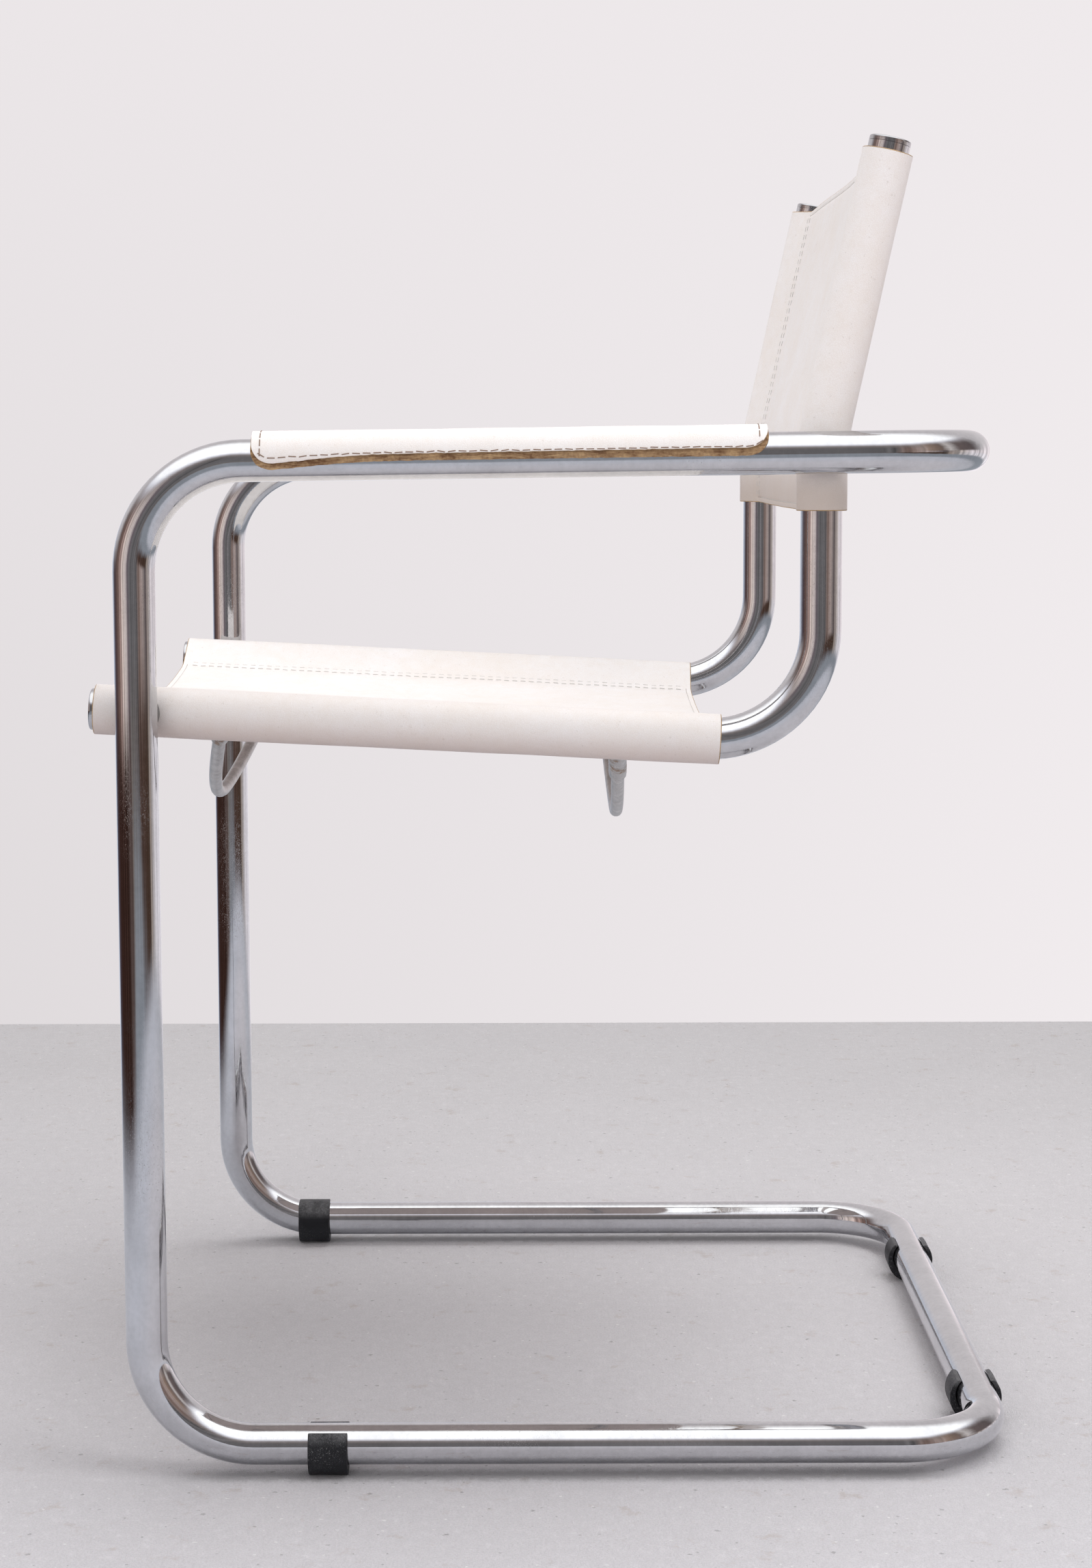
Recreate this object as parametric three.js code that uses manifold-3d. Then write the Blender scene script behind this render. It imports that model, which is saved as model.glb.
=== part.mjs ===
// Cantilever lounge chair: a bent tube frame with a leather seat, a leather back and leather arm covers.
// Millimetres. The chair faces -Y, +Z is up and the sitter's left is +X.
// It is laid out from the front legs' axes and the base tube's axis, and set on the floor at the end.
import * as THREE from 'three';
import { mergeVertices } from 'three/addons/utils/BufferGeometryUtils.js';
import Module from 'manifold-3d';

const wasm = await Module();
wasm.setup();

// Tube, leather and clearances
const tubeDiameter = 25;
const tubeWall = 2;
const leatherThickness = 2.3;
const fitGap = 0.3;
const cutGap = 0.2;
const cutOverrun = 2;

// Outer frame, measured on the tube's axis
const legSpacing = 532;
const armHeight = 592.9;
const armRise = THREE.MathUtils.degToRad(0.7);
const baseDepth = 516.5;
const legBendRadius = 65;
const rearBendRadius = 60;
const joinSleeveLength = 70;
const joinSleeveWall = 2;

// Seat and back tubes, measured on the tube's axis
const railInset = 30;
const railHeight = 444.1;
const railFall = THREE.MathUtils.degToRad(2.9);
const railOverhang = 28;
const postDepth = 407;
const armBehindPost = 91.5;
const seatBendRadius = 65;
const postLean = THREE.MathUtils.degToRad(12.4);
const postBendRadius = 165;
const postBendHeight = 604.5;
const postTopHeight = 779.5;

// Leather slings: each is sewn back to itself beside the tubes, where its two layers meet
const seamReach = 35.5;
const seamOverlap = 10;
const seatSling = { pastRail: 0.5, beforePost: 56.5, seamDrop: 5.3, middleDrop: 14, sagPower: 2.6 };
const backSling = { start: 563.5, belowTop: 4, seamDrop: -1.2, middleDrop: 2.5, sagPower: 1.4 };
const backTopArch = 5;
const backBottomArch = 2;

// Leather arm covers: a lining and a cover bent over the upper half of the arm tube
const coverStart = 70.5;
const coverBeforePost = 35;
const coverFlap = 1.5;
const coverCornerRadius = 12;
const liningThickness = 1.5;

// End caps
const capHead = 3;
const capDome = 0.7;
const capEdge = 0.6;
const capPlugLength = 14;

// Bowed stretchers under the seat; their ends sit in sockets on the rails
const rodDiameter = 8.4;
const socketDiameter = 11.4;
const stretcherInset = 10;
const frontStretcher = { depth: 46.4, drop: 5.7, sag: 64.8, forward: 23.6, bowPower: 1.8, socketReach: 34 };
const rearStretcher = { beforePost: 121.5, drop: 3.2, sag: 70.2, forward: -5.2, bowPower: 1.54, socketReach: 76 };

// Spacers, bolts and nuts between the seat tubes and the outer frame
const spacerDiameter = 24;
const boltDiameter = 6;
const boltHeadDiameter = 10;
const boltHeadHeight = 4;
const boltTail = 1;
const nutAcross = 10;
const nutHeight = 5;
const accessDiameter = 13;

// Glides clipped round the base tube
const glideWall = 5.5;
const glideFlat = 0.3;
const glideLength = 25;
const glideLip = THREE.MathUtils.degToRad(44);
const frontGlideDepths = { left: 109.5, right: 61.5 };
const rearGlideReaches = { left: 165, right: 158 };

// Counts of facets
const tubeSides = 18;
const boreSides = 10;
const roundSides = 24;
const boltSides = 12;
const rodSides = 12;
const bigBendSteps = 8;
const leanBendSteps = 4;
const bowSteps = 20;
const socketSteps = 4;
const loopSteps = 20;
const webSteps = 8;
const coverSteps = 16;
const glideSteps = 8;
const cornerSteps = 6;
const hexagon = 6;

// Worked out from the sizes above
const tubeRadius = tubeDiameter / 2;
const boreRadius = tubeRadius - tubeWall;
const boreFlat = boreRadius * Math.cos(Math.PI / boreSides);
const plugRadius = boreFlat - fitGap;
const legX = legSpacing / 2;
const railX = legX - railInset;
const stretcherReach = railX - stretcherInset;
const loopInner = (tubeRadius + fitGap) / Math.cos(Math.PI / loopSteps);
const loopOuter = loopInner + leatherThickness;
const rodRadius = rodDiameter / 2;
const socketRadius = socketDiameter / 2;
const boltRadius = boltDiameter / 2;
const quarter = Math.PI / 2;
const armDepth = postDepth + armBehindPost;
const coverEnd = postDepth - coverBeforePost;
const leanStart = postBendHeight - postBendRadius * Math.tan(postLean / 2);

const axisX = new THREE.Vector3(1, 0, 0);
const axisY = new THREE.Vector3(0, 1, 0);
const axisZ = new THREE.Vector3(0, 0, 1);
const towardRight = axisX.clone().negate();

function railHeightAt(depth) {
  return railHeight - depth * Math.tan(railFall);
}

function armHeightAt(depth) {
  return armHeight + depth * Math.tan(armRise);
}

// Depth of the upright's axis: it stands up to leanStart, then bends back and leans
function uprightDepthAt(height) {
  const leanEnd = leanStart + postBendRadius * Math.sin(postLean);
  const turn = Math.asin(Math.min(Math.max((height - leanStart) / postBendRadius, 0), Math.sin(postLean)));
  const beyond = Math.max(height - leanEnd, 0) * Math.tan(postLean);
  return postDepth + postBendRadius * (1 - Math.cos(turn)) + beyond;
}

// A path of straight runs and bends: the stations where a section is placed, each with its section's first axis
class BentPath extends THREE.Curve {
  constructor(start, heading, across) {
    super();
    this.stations = [];
    this.to(start, heading, across);
  }

  get end() {
    return this.stations[this.stations.length - 1];
  }

  get steps() {
    return this.stations.length - 1;
  }

  to(point, heading, across) {
    const tangent = heading.clone().normalize();
    const normal = across.clone().addScaledVector(tangent, -across.dot(tangent)).normalize();
    this.stations.push({ point: point.clone(), tangent, normal });
    return this;
  }

  straight(length) {
    const { point, tangent, normal } = this.end;
    return this.to(point.clone().addScaledVector(tangent, length), tangent, normal);
  }

  bend(radius, angle, axis, steps) {
    const { point, tangent, normal } = this.end;
    const centre = point.clone().addScaledVector(axis.clone().cross(tangent), radius);
    for (let i = 1; i <= steps; i += 1) {
      const turn = (angle * i) / steps;
      const next = point.clone().sub(centre).applyAxisAngle(axis, turn).add(centre);
      this.to(next, tangent.clone().applyAxisAngle(axis, turn), normal.clone().applyAxisAngle(axis, turn));
    }
    return this;
  }

  mirrored() {
    const flip = (vector) => new THREE.Vector3(-vector.x, vector.y, vector.z);
    const [first, ...others] = this.stations;
    const path = new BentPath(flip(first.point), flip(first.tangent), flip(first.normal));
    for (const { point, tangent, normal } of others) {
      path.to(flip(point), flip(tangent), flip(normal));
    }
    return path;
  }

  getPointAt(t) {
    return this.stations[Math.round(t * this.steps)].point.clone();
  }

  getPoint(t) {
    return this.getPointAt(t);
  }

  getTangentAt(t) {
    return this.stations[Math.round(t * this.steps)].tangent.clone();
  }

  computeFrenetFrames() {
    const tangents = this.stations.map((station) => station.tangent);
    const normals = this.stations.map((station) => station.normal);
    const binormals = tangents.map((tangent, i) => tangent.clone().cross(normals[i]));
    return { tangents, normals, binormals };
  }
}

// Sections
function arc(radius, from, to, steps, x = 0, y = 0) {
  const points = [];
  for (let i = 0; i <= steps; i += 1) {
    const angle = from + ((to - from) * i) / steps;
    points.push(new THREE.Vector2(x + radius * Math.cos(angle), y + radius * Math.sin(angle)));
  }
  return points;
}

function ring(radius, sides) {
  return arc(radius, 0, 2 * Math.PI, sides).slice(1);
}

function mirroredOutline(half) {
  const others = half.filter((point) => point.x > 0).map((point) => new THREE.Vector2(-point.x, point.y));
  return [...half, ...others.reverse()].reverse();
}

// Solids swept along a path, with or without a bore
function sweep(shape, path) {
  return new THREE.ExtrudeGeometry(shape, { steps: path.steps, extrudePath: path, bevelEnabled: false });
}

function rod(path, radius, sides) {
  return sweep(new THREE.Shape(ring(radius, sides)), path);
}

function pipe(path, radius, sides, bore, sidesInside) {
  const shape = new THREE.Shape(ring(radius, sides));
  shape.holes.push(new THREE.Path(ring(bore, sidesInside)));
  return sweep(shape, path);
}

function crossPath(fromX, toX, y, z) {
  const heading = toX > fromX ? axisX : towardRight;
  return new BentPath(new THREE.Vector3(fromX, y, z), heading, axisY).straight(Math.abs(toX - fromX));
}

// Cutting and joining
function solidOf(geometry) {
  const bare = geometry.clone();
  bare.deleteAttribute('normal');
  bare.deleteAttribute('uv');
  const merged = mergeVertices(bare);
  const vertProperties = new Float32Array(merged.attributes.position.array);
  const triVerts = new Uint32Array(merged.index.array);
  return new wasm.Manifold(new wasm.Mesh({ numProp: 3, vertProperties, triVerts }));
}

function cut(geometry, tools) {
  let solid = solidOf(geometry);
  for (const tool of tools) {
    solid = solid.subtract(solidOf(tool));
  }
  const mesh = solid.getMesh();
  const result = new THREE.BufferGeometry();
  result.setAttribute('position', new THREE.BufferAttribute(new Float32Array(mesh.vertProperties), 3));
  result.setIndex(new THREE.BufferAttribute(new Uint32Array(mesh.triVerts), 1));
  result.computeVertexNormals();
  return result;
}

// Materials
function finish(color, roughness, metalness) {
  return () => new THREE.MeshStandardMaterial({ color, roughness, metalness });
}

const chrome = finish(0xc9cacd, 0.08, 1);
const capChrome = finish(0xb4b6ba, 0.15, 1);
const plainSteel = finish(0x8d8f91, 0.4, 1);
const rodSteel = finish(0x96938e, 0.45, 1);
const blackPlastic = finish(0x1d2022, 0.6, 0);
const whiteLeather = finish(0xeee5de, 0.55, 0);
const rawLeather = finish(0xa87c4f, 0.8, 0);

const chair = new THREE.Group();
const parts = new THREE.Group();
chair.add(parts);

function add(name, geometry, material) {
  const mesh = new THREE.Mesh(geometry, material());
  mesh.name = name;
  parts.add(mesh);
  return mesh;
}

function addTurned(name, profile, segments, material, point, direction) {
  const mesh = add(name, new THREE.LatheGeometry(profile, segments), material);
  mesh.position.copy(point);
  mesh.quaternion.setFromUnitVectors(axisY, direction);
  return mesh;
}

const sides = [
  { word: 'left', sign: 1, path: (path) => path },
  { word: 'right', sign: -1, path: (path) => path.mirrored() },
];

// Outer frame: each half runs from the middle of the base forward, up the leg, and back to the middle of the arm loop
function outerHalfPath() {
  const armHeading = new THREE.Vector3(0, Math.cos(armRise), Math.sin(armRise));
  const armUp = axisX.clone().cross(armHeading);
  const armStart = legBendRadius * (1 - Math.sin(armRise));
  const crossRun = legX - rearBendRadius - fitGap / 2;
  const legTop = armHeightAt(armStart) - legBendRadius * Math.cos(armRise);
  const path = new BentPath(new THREE.Vector3(fitGap / 2, baseDepth, 0), axisX, axisZ);
  path.straight(crossRun);
  path.bend(rearBendRadius, quarter, axisZ.clone().negate(), bigBendSteps);
  path.straight(baseDepth - rearBendRadius - legBendRadius);
  path.bend(legBendRadius, quarter, towardRight, bigBendSteps);
  path.straight(legTop - legBendRadius);
  path.bend(legBendRadius, quarter - armRise, towardRight, bigBendSteps);
  path.straight((armDepth - armStart) / Math.cos(armRise) - rearBendRadius);
  path.bend(rearBendRadius, quarter, armUp, bigBendSteps);
  path.straight(crossRun);
  return path;
}

// Seat tube: the rail under the seat, and the upright that leans back above the arm
function seatTubePath() {
  const heading = new THREE.Vector3(0, Math.cos(railFall), -Math.sin(railFall));
  const bendStart = postDepth - seatBendRadius * (1 + Math.sin(railFall));
  const start = new THREE.Vector3(railX, -railOverhang, railHeightAt(-railOverhang));
  const path = new BentPath(start, heading, towardRight);
  path.straight((bendStart + railOverhang) / Math.cos(railFall));
  path.bend(seatBendRadius, quarter + railFall, axisX, bigBendSteps);
  path.straight(leanStart - path.end.point.z);
  path.bend(postBendRadius, postLean, towardRight, leanBendSteps);
  path.straight((postTopHeight - path.end.point.z) / Math.cos(postLean));
  return path;
}

const outerPath = outerHalfPath();
const seatPath = seatTubePath();

// Where each seat tube is bolted to the outer frame
const rearJointDepth = uprightDepthAt(armHeightAt(postDepth));
const joints = [
  { word: 'front', depth: 0, height: railHeightAt(0) },
  { word: 'rear', depth: rearJointDepth, height: armHeightAt(rearJointDepth) },
];

function boltHole(sign, { depth, height }) {
  return rod(crossPath(sign * railX, sign * legX, depth, height), boltRadius + fitGap, rodSides);
}

function accessHole(sign, { depth, height }) {
  const inside = sign * (railX - tubeRadius - cutOverrun);
  return rod(crossPath(inside, sign * railX, depth, height), accessDiameter / 2, rodSides);
}

for (const { word, sign, path } of sides) {
  const holes = joints.map((joint) => boltHole(sign, joint));
  const frameTube = pipe(path(outerPath), tubeRadius, tubeSides, boreRadius, boreSides);
  add(`frame_${word}`, cut(frameTube, holes), chrome);
  const seatTube = pipe(path(seatPath), tubeRadius, tubeSides, boreRadius, boreSides);
  const accesses = joints.map((joint) => accessHole(sign, joint));
  add(`seat_tube_${word}`, cut(seatTube, [...holes, ...accesses]), chrome);
}

// Sleeves inside the tube, where the outer frame's halves meet
const joins = [
  { word: 'base', depth: baseDepth, height: 0 },
  { word: 'arm', depth: armDepth, height: armHeightAt(armDepth) },
];
for (const { word, depth, height } of joins) {
  const path = crossPath(-joinSleeveLength / 2, joinSleeveLength / 2, depth, height);
  const sleeve = pipe(path, plugRadius, boreSides, plugRadius - joinSleeveWall, boreSides);
  add(`${word}_join_sleeve`, sleeve, plainSteel);
}

// Spacers, bolts and nuts
const headSeat = Math.sqrt(boreFlat ** 2 - (boltHeadDiameter / 2) ** 2) - fitGap;
const nutRadius = nutAcross / 2 / Math.cos(Math.PI / hexagon);
const nutSeat = Math.sqrt(boreFlat ** 2 - nutRadius ** 2) - fitGap;
const boltLength = railInset - nutSeat - headSeat + nutHeight + boltTail;
const boltProfile = [
  new THREE.Vector2(0, -boltHeadHeight),
  new THREE.Vector2(boltHeadDiameter / 2, -boltHeadHeight),
  new THREE.Vector2(boltHeadDiameter / 2, 0),
  new THREE.Vector2(boltRadius, 0),
  new THREE.Vector2(boltRadius, boltLength),
  new THREE.Vector2(0, boltLength),
];
for (const { word, sign, path } of sides) {
  const tubeClear = rod(path(outerPath), tubeRadius + fitGap, roundSides);
  const leatherClear = rod(path(seatPath), loopOuter + fitGap, roundSides);
  for (const joint of joints) {
    const across = crossPath(sign * railX, sign * legX, joint.depth, joint.height);
    const blank = rod(across, spacerDiameter / 2, roundSides);
    const spacer = cut(blank, [tubeClear, leatherClear, boltHole(sign, joint)]);
    add(`${joint.word}_spacer_${word}`, spacer, plainSteel);
    const direction = axisX.clone().multiplyScalar(sign);
    const headPoint = new THREE.Vector3(sign * (railX + headSeat), joint.depth, joint.height);
    addTurned(`${joint.word}_bolt_${word}`, boltProfile, boltSides, plainSteel, headPoint, direction);
    const nutStart = sign * (legX - nutSeat);
    const nutPath = crossPath(nutStart, nutStart + sign * nutHeight, joint.depth, joint.height);
    const nut = pipe(nutPath, nutRadius, hexagon, boltRadius + fitGap, rodSides);
    add(`${joint.word}_nut_${word}`, nut, plainSteel);
  }
}

// Caps on the rails' front ends and on the uprights' tops
const capProfile = [
  new THREE.Vector2(0, -capPlugLength),
  new THREE.Vector2(plugRadius, -capPlugLength),
  new THREE.Vector2(plugRadius, fitGap),
  new THREE.Vector2(tubeRadius, fitGap),
  new THREE.Vector2(tubeRadius, fitGap + capHead - capEdge),
  new THREE.Vector2(tubeRadius - capEdge, fitGap + capHead),
  new THREE.Vector2(0, fitGap + capHead + capDome),
];
for (const { word, path } of sides) {
  const { stations, end } = path(seatPath);
  const outward = stations[0].tangent.clone().negate();
  addTurned(`rail_cap_${word}`, capProfile, roundSides, capChrome, stations[0].point, outward);
  addTurned(`post_cap_${word}`, capProfile, roundSides, capChrome, end.point, end.tangent);
}

// Bowed stretchers
function stretcherPath(from, to, steps, { depth, drop, sag, forward, bowPower }) {
  const endHeight = railHeightAt(depth) - drop;
  let path = null;
  for (let i = 0; i <= steps; i += 1) {
    const x = from + ((to - from) * i) / steps;
    const share = Math.abs(x / stretcherReach);
    const rise = share ** bowPower - 1;
    const slope = (Math.sign(x) * bowPower * share ** (bowPower - 1)) / stretcherReach;
    const point = new THREE.Vector3(x, depth + forward * rise, endHeight + sag * rise);
    const heading = new THREE.Vector3(1, forward * slope, sag * slope);
    path = path ? path.to(point, heading, axisY) : new BentPath(point, heading, axisY);
  }
  return path;
}

function socketPath(stretcher) {
  return stretcherPath(railX - stretcher.socketReach, railX, socketSteps, stretcher);
}

const stretchers = [
  { word: 'front', form: frontStretcher },
  { word: 'rear', form: { ...rearStretcher, depth: postDepth - rearStretcher.beforePost } },
];
const railClears = sides.map(({ path }) => rod(path(seatPath), tubeRadius + fitGap, tubeSides));
for (const { word, form } of stretchers) {
  const bowed = rod(stretcherPath(-railX, railX, bowSteps, form), rodRadius, rodSides);
  add(`${word}_stretcher`, cut(bowed, railClears), rodSteel);
  const bore = rod(stretcherPath(-railX, railX, bowSteps, form), rodRadius + fitGap, rodSides);
  for (const side of sides) {
    const blank = rod(side.path(socketPath(form)), socketRadius, tubeSides);
    add(`${word}_socket_${side.word}`, cut(blank, [...railClears, bore]), rodSteel);
  }
}

// Leather slings: a sheet between the tubes, with a loop round each tube and a second layer beside it
function slingShape({ seamDrop, middleDrop, sagPower }) {
  const seamX = railX - seamReach;
  const tilt = Math.atan2(seamDrop, seamReach);
  const spread = Math.asin(loopInner / Math.hypot(seamReach, seamDrop));
  const over = quarter + tilt + spread;
  const under = -quarter + tilt - spread;
  const rise = middleDrop - seamDrop + leatherThickness;
  const sheetTop = (x) => rise * (x / seamX) ** sagPower - middleDrop;
  const layerEnd = seamX - seamOverlap;
  const seam = new THREE.Vector2(seamX, -seamDrop);
  const outward = (angle) => new THREE.Vector2(Math.cos(angle), Math.sin(angle)).multiplyScalar(leatherThickness);
  const half = [];
  for (let i = 0; i < webSteps; i += 1) {
    const x = (layerEnd * i) / (webSteps - 1);
    half.push(new THREE.Vector2(x, sheetTop(x)));
  }
  half.push(seam.clone().add(outward(over)));
  half.push(...arc(loopOuter, over, under, loopSteps, railX));
  half.push(seam.clone().add(outward(under)));
  half.push(new THREE.Vector2(layerEnd, sheetTop(layerEnd) - 2 * leatherThickness));
  for (let i = webSteps - 1; i >= 0; i -= 1) {
    const x = (layerEnd * i) / (webSteps - 1);
    half.push(new THREE.Vector2(x, sheetTop(x) - leatherThickness));
  }
  const shape = new THREE.Shape(mirroredOutline(half));
  const loop = [seam, ...arc(loopInner, over, under, loopSteps, railX)];
  shape.holes.push(new THREE.Path(loop));
  shape.holes.push(new THREE.Path(loop.map((point) => new THREE.Vector2(-point.x, point.y))));
  return shape;
}

// Moves the vertices on one end face along the path's heading, most in the middle of the sheet
function archEnd(geometry, { point, tangent }, arch) {
  const position = geometry.attributes.position;
  const vertex = new THREE.Vector3();
  for (let i = 0; i < position.count; i += 1) {
    vertex.fromBufferAttribute(position, i);
    const reach = vertex.clone().sub(point).dot(tangent);
    if (Math.abs(reach) < cutGap && Math.abs(vertex.x) < railX - seamReach) {
      const share = 1 - (vertex.x / (railX - seamReach)) ** 2;
      vertex.addScaledVector(tangent, arch * share);
      position.setXYZ(i, vertex.x, vertex.y, vertex.z);
    }
  }
}

const bolts = sides.flatMap(({ sign }) => joints.map((joint) => boltHole(sign, joint)));
const railHeading = seatPath.stations[0].tangent;
const seatFront = -railOverhang - seatSling.pastRail;
const seatStart = new THREE.Vector3(0, seatFront, railHeightAt(seatFront));
const seatRun = (postDepth - seatSling.beforePost - seatFront) / railHeading.y;
const seatSheet = sweep(slingShape(seatSling), new BentPath(seatStart, railHeading, towardRight).straight(seatRun));
const bendClears = sides.map(({ path }) => rod(path(seatPath), tubeRadius + cutGap, tubeSides));
const socketClears = stretchers.flatMap(({ form }) =>
  sides.map(({ path }) => rod(path(socketPath(form)), socketRadius + fitGap, tubeSides)),
);
add('seat_sling', cut(seatSheet, [...bendClears, ...socketClears, ...bolts]), whiteLeather);

const backStart = new THREE.Vector3(0, postDepth, backSling.start);
const backPath = new BentPath(backStart, axisZ, towardRight).straight(leanStart - backSling.start);
backPath.bend(postBendRadius, postLean, towardRight, leanBendSteps);
backPath.straight((postTopHeight - backSling.belowTop - backPath.end.point.z) / Math.cos(postLean));
const backSheet = sweep(slingShape(backSling), backPath);
archEnd(backSheet, backPath.end, backTopArch);
archEnd(backSheet, backPath.stations[0], -backBottomArch);
add('back_sling', cut(backSheet, bolts), whiteLeather);

// Arm covers
function archShape(radius, thickness, flap) {
  const outer = radius + thickness;
  return new THREE.Shape([
    new THREE.Vector2(outer, -flap),
    ...arc(outer, 0, Math.PI, coverSteps),
    new THREE.Vector2(-outer, -flap),
    new THREE.Vector2(-radius, -flap),
    ...arc(radius, Math.PI, 0, coverSteps),
    new THREE.Vector2(radius, -flap),
  ]);
}

// Tool that rounds the lower corners of both flaps at one end of a cover; run points into the cover
function cornerTool(x, depth, run) {
  const radius = coverCornerRadius;
  const width = 2 * (tubeDiameter + leatherThickness);
  const points = arc(radius, -quarter, -Math.PI, cornerSteps, radius, radius);
  const outline = [
    ...points,
    new THREE.Vector2(-cutOverrun, radius),
    new THREE.Vector2(-cutOverrun, -cutOverrun),
    new THREE.Vector2(radius, -cutOverrun),
  ];
  const start = new THREE.Vector3(x - width / 2, depth, armHeightAt(depth) - coverFlap);
  const path = new BentPath(start, axisX, axisY).straight(width);
  const placed = outline.map((point) => new THREE.Vector2(run * point.x, point.y));
  return sweep(new THREE.Shape(placed), path);
}

const liningRadius = (tubeRadius + fitGap) / Math.cos(quarter / coverSteps);
const coverRadius = liningRadius + liningThickness + fitGap;
const armHeading = new THREE.Vector3(0, Math.cos(armRise), Math.sin(armRise));
for (const { word, sign } of sides) {
  const x = sign * legX;
  const start = new THREE.Vector3(x, coverStart, armHeightAt(coverStart));
  const path = new BentPath(start, armHeading, towardRight).straight((coverEnd - coverStart) / armHeading.y);
  const tools = [cornerTool(x, coverStart, 1), cornerTool(x, path.end.point.y, -1)];
  const lining = sweep(archShape(liningRadius, liningThickness, coverFlap), path);
  add(`arm_lining_${word}`, cut(lining, tools), rawLeather);
  const cover = sweep(archShape(coverRadius, leatherThickness, coverFlap), path);
  add(`arm_cover_${word}`, cut(cover, tools), whiteLeather);
}

// Glides: clips open at the top and flat under the foot
const glideInner = (tubeRadius + fitGap) / Math.cos(Math.PI / glideSteps / 4);
const glideOuter = glideInner + glideWall;

function glideShape() {
  const flat = Math.acos((glideOuter - glideFlat) / glideOuter);
  return new THREE.Shape([
    ...arc(glideOuter, glideLip, flat - quarter, glideSteps),
    ...arc(glideOuter, -quarter - flat, -Math.PI - glideLip, glideSteps),
    ...arc(glideInner, -Math.PI - glideLip, glideLip, 2 * glideSteps),
  ]);
}

function glide(middle, heading, across) {
  const start = middle.clone().addScaledVector(heading, -glideLength / 2);
  return sweep(glideShape(), new BentPath(start, heading, across).straight(glideLength));
}

for (const { word, sign, path } of sides) {
  const tubeClear = rod(path(outerPath), tubeRadius + cutGap, tubeSides);
  const front = glide(new THREE.Vector3(sign * legX, frontGlideDepths[word], 0), axisY, towardRight);
  add(`front_glide_${word}`, cut(front, [tubeClear]), blackPlastic);
  const rear = glide(new THREE.Vector3(sign * rearGlideReaches[word], baseDepth, 0), axisX, axisY);
  add(`rear_glide_${word}`, cut(rear, [tubeClear]), blackPlastic);
}

// Set down on the floor, with the middle of its depth over the origin
const bounds = new THREE.Box3().setFromObject(parts, true);
parts.position.set(0, -(bounds.min.y + bounds.max.y) / 2, -bounds.min.z);

export default chair;
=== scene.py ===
"""Cantilever lounge chair: the visual model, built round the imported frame. Metres, +Z up, the chair faces -Y."""

import math

import bpy
from bpy.props import FloatProperty, FloatVectorProperty, IntProperty, PointerProperty
from mathutils import Matrix, Vector, noise


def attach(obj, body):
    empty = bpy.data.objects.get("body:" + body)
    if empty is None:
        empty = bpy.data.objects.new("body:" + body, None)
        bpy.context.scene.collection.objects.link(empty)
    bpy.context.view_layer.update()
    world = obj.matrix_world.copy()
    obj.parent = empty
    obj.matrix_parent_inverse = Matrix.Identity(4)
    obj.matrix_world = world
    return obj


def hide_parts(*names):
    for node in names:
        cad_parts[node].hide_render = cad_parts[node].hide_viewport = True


bl_info = {
    "name": "Cantilever Lounge Chair",
    "version": (1, 0, 0),
    "blender": (4, 5, 0),
    "location": "View3D > Sidebar > Lounge Chair",
    "description": "Models a tube-framed lounge chair with leather slings round its CAD frame",
    "category": "Object",
}

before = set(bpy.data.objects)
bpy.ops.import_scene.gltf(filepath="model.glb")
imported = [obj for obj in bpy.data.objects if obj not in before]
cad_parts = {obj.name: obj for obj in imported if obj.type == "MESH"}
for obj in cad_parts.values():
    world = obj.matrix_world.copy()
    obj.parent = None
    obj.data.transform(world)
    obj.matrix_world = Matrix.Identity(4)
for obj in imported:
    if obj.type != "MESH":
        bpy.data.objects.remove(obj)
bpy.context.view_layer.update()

# The CAD model is laid out from the front legs' axes (depth) and the base tube's axis (height)
DEPTH_SHIFT = -0.251419
HEIGHT_SHIFT = 0.018062

# Outer frame and seat tubes, on the tube's axis
TUBE_RADIUS = 0.0125
FIT_GAP = 0.0003
LEG_X = 0.266
ARM_HEIGHT = 0.5929
ARM_RISE = math.radians(0.7)
BASE_DEPTH = 0.5165
ARM_DEPTH = 0.4985
LEG_BEND = 0.065
REAR_BEND = 0.060
RAIL_X = 0.236
RAIL_HEIGHT = 0.4441
RAIL_FALL = math.radians(2.9)
RAIL_OVERHANG = 0.028
POST_DEPTH = 0.407
SEAT_BEND = 0.065
POST_LEAN = math.radians(12.4)
POST_BEND = 0.165
LEAN_START = 0.6045 - POST_BEND * math.tan(POST_LEAN / 2)
POST_TOP = 0.7795
LEAN_END = LEAN_START + POST_BEND * math.sin(POST_LEAN)

# The chair has settled a little: the left post ends lower than the right one
POST_SLIPS = {"left": -0.001, "right": 0.001}

# Width of the gap where the two halves of the outer frame meet
JOIN_GAP = 0.00002

# Slings: the seam beside each tube, where the leather is sewn back to itself
SEAM_REACH = 0.0355
SEAM_OVERLAP = 0.010
SEAM_X = RAIL_X - SEAM_REACH
LOOP_INNER = 0.01296
LAYER_GAP = 0.00012
LEATHER_RADIUS = LOOP_INNER + 0.0023
ROW_STEP = 0.005
CREASE_WIDTH = 0.0008
SEAM_END = 0.004
SLING_ROUNDING = 0.0011
STITCH_WIDTH = 0.0006
STITCH_LIFT = 0.00005

# Points of a sling's section, counted from the middle: as far as its seam, and as far as the edge stitches go
TOP_REACH = 37
EDGE_STITCH_REACH = 28

# Stretchers: depth and drop of the ends, sag, lean and bow of the middle, reach of the socket
STRETCHER_REACH = 0.226
STRETCHERS = {
    "front": {"depth": 0.0464, "drop": 0.0057, "sag": 0.0648, "forward": 0.0236, "bow": 1.8, "socket": 0.034},
    "rear": {"depth": 0.2855, "drop": 0.0032, "sag": 0.0702, "forward": -0.0052, "bow": 1.54, "socket": 0.076},
}

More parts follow.
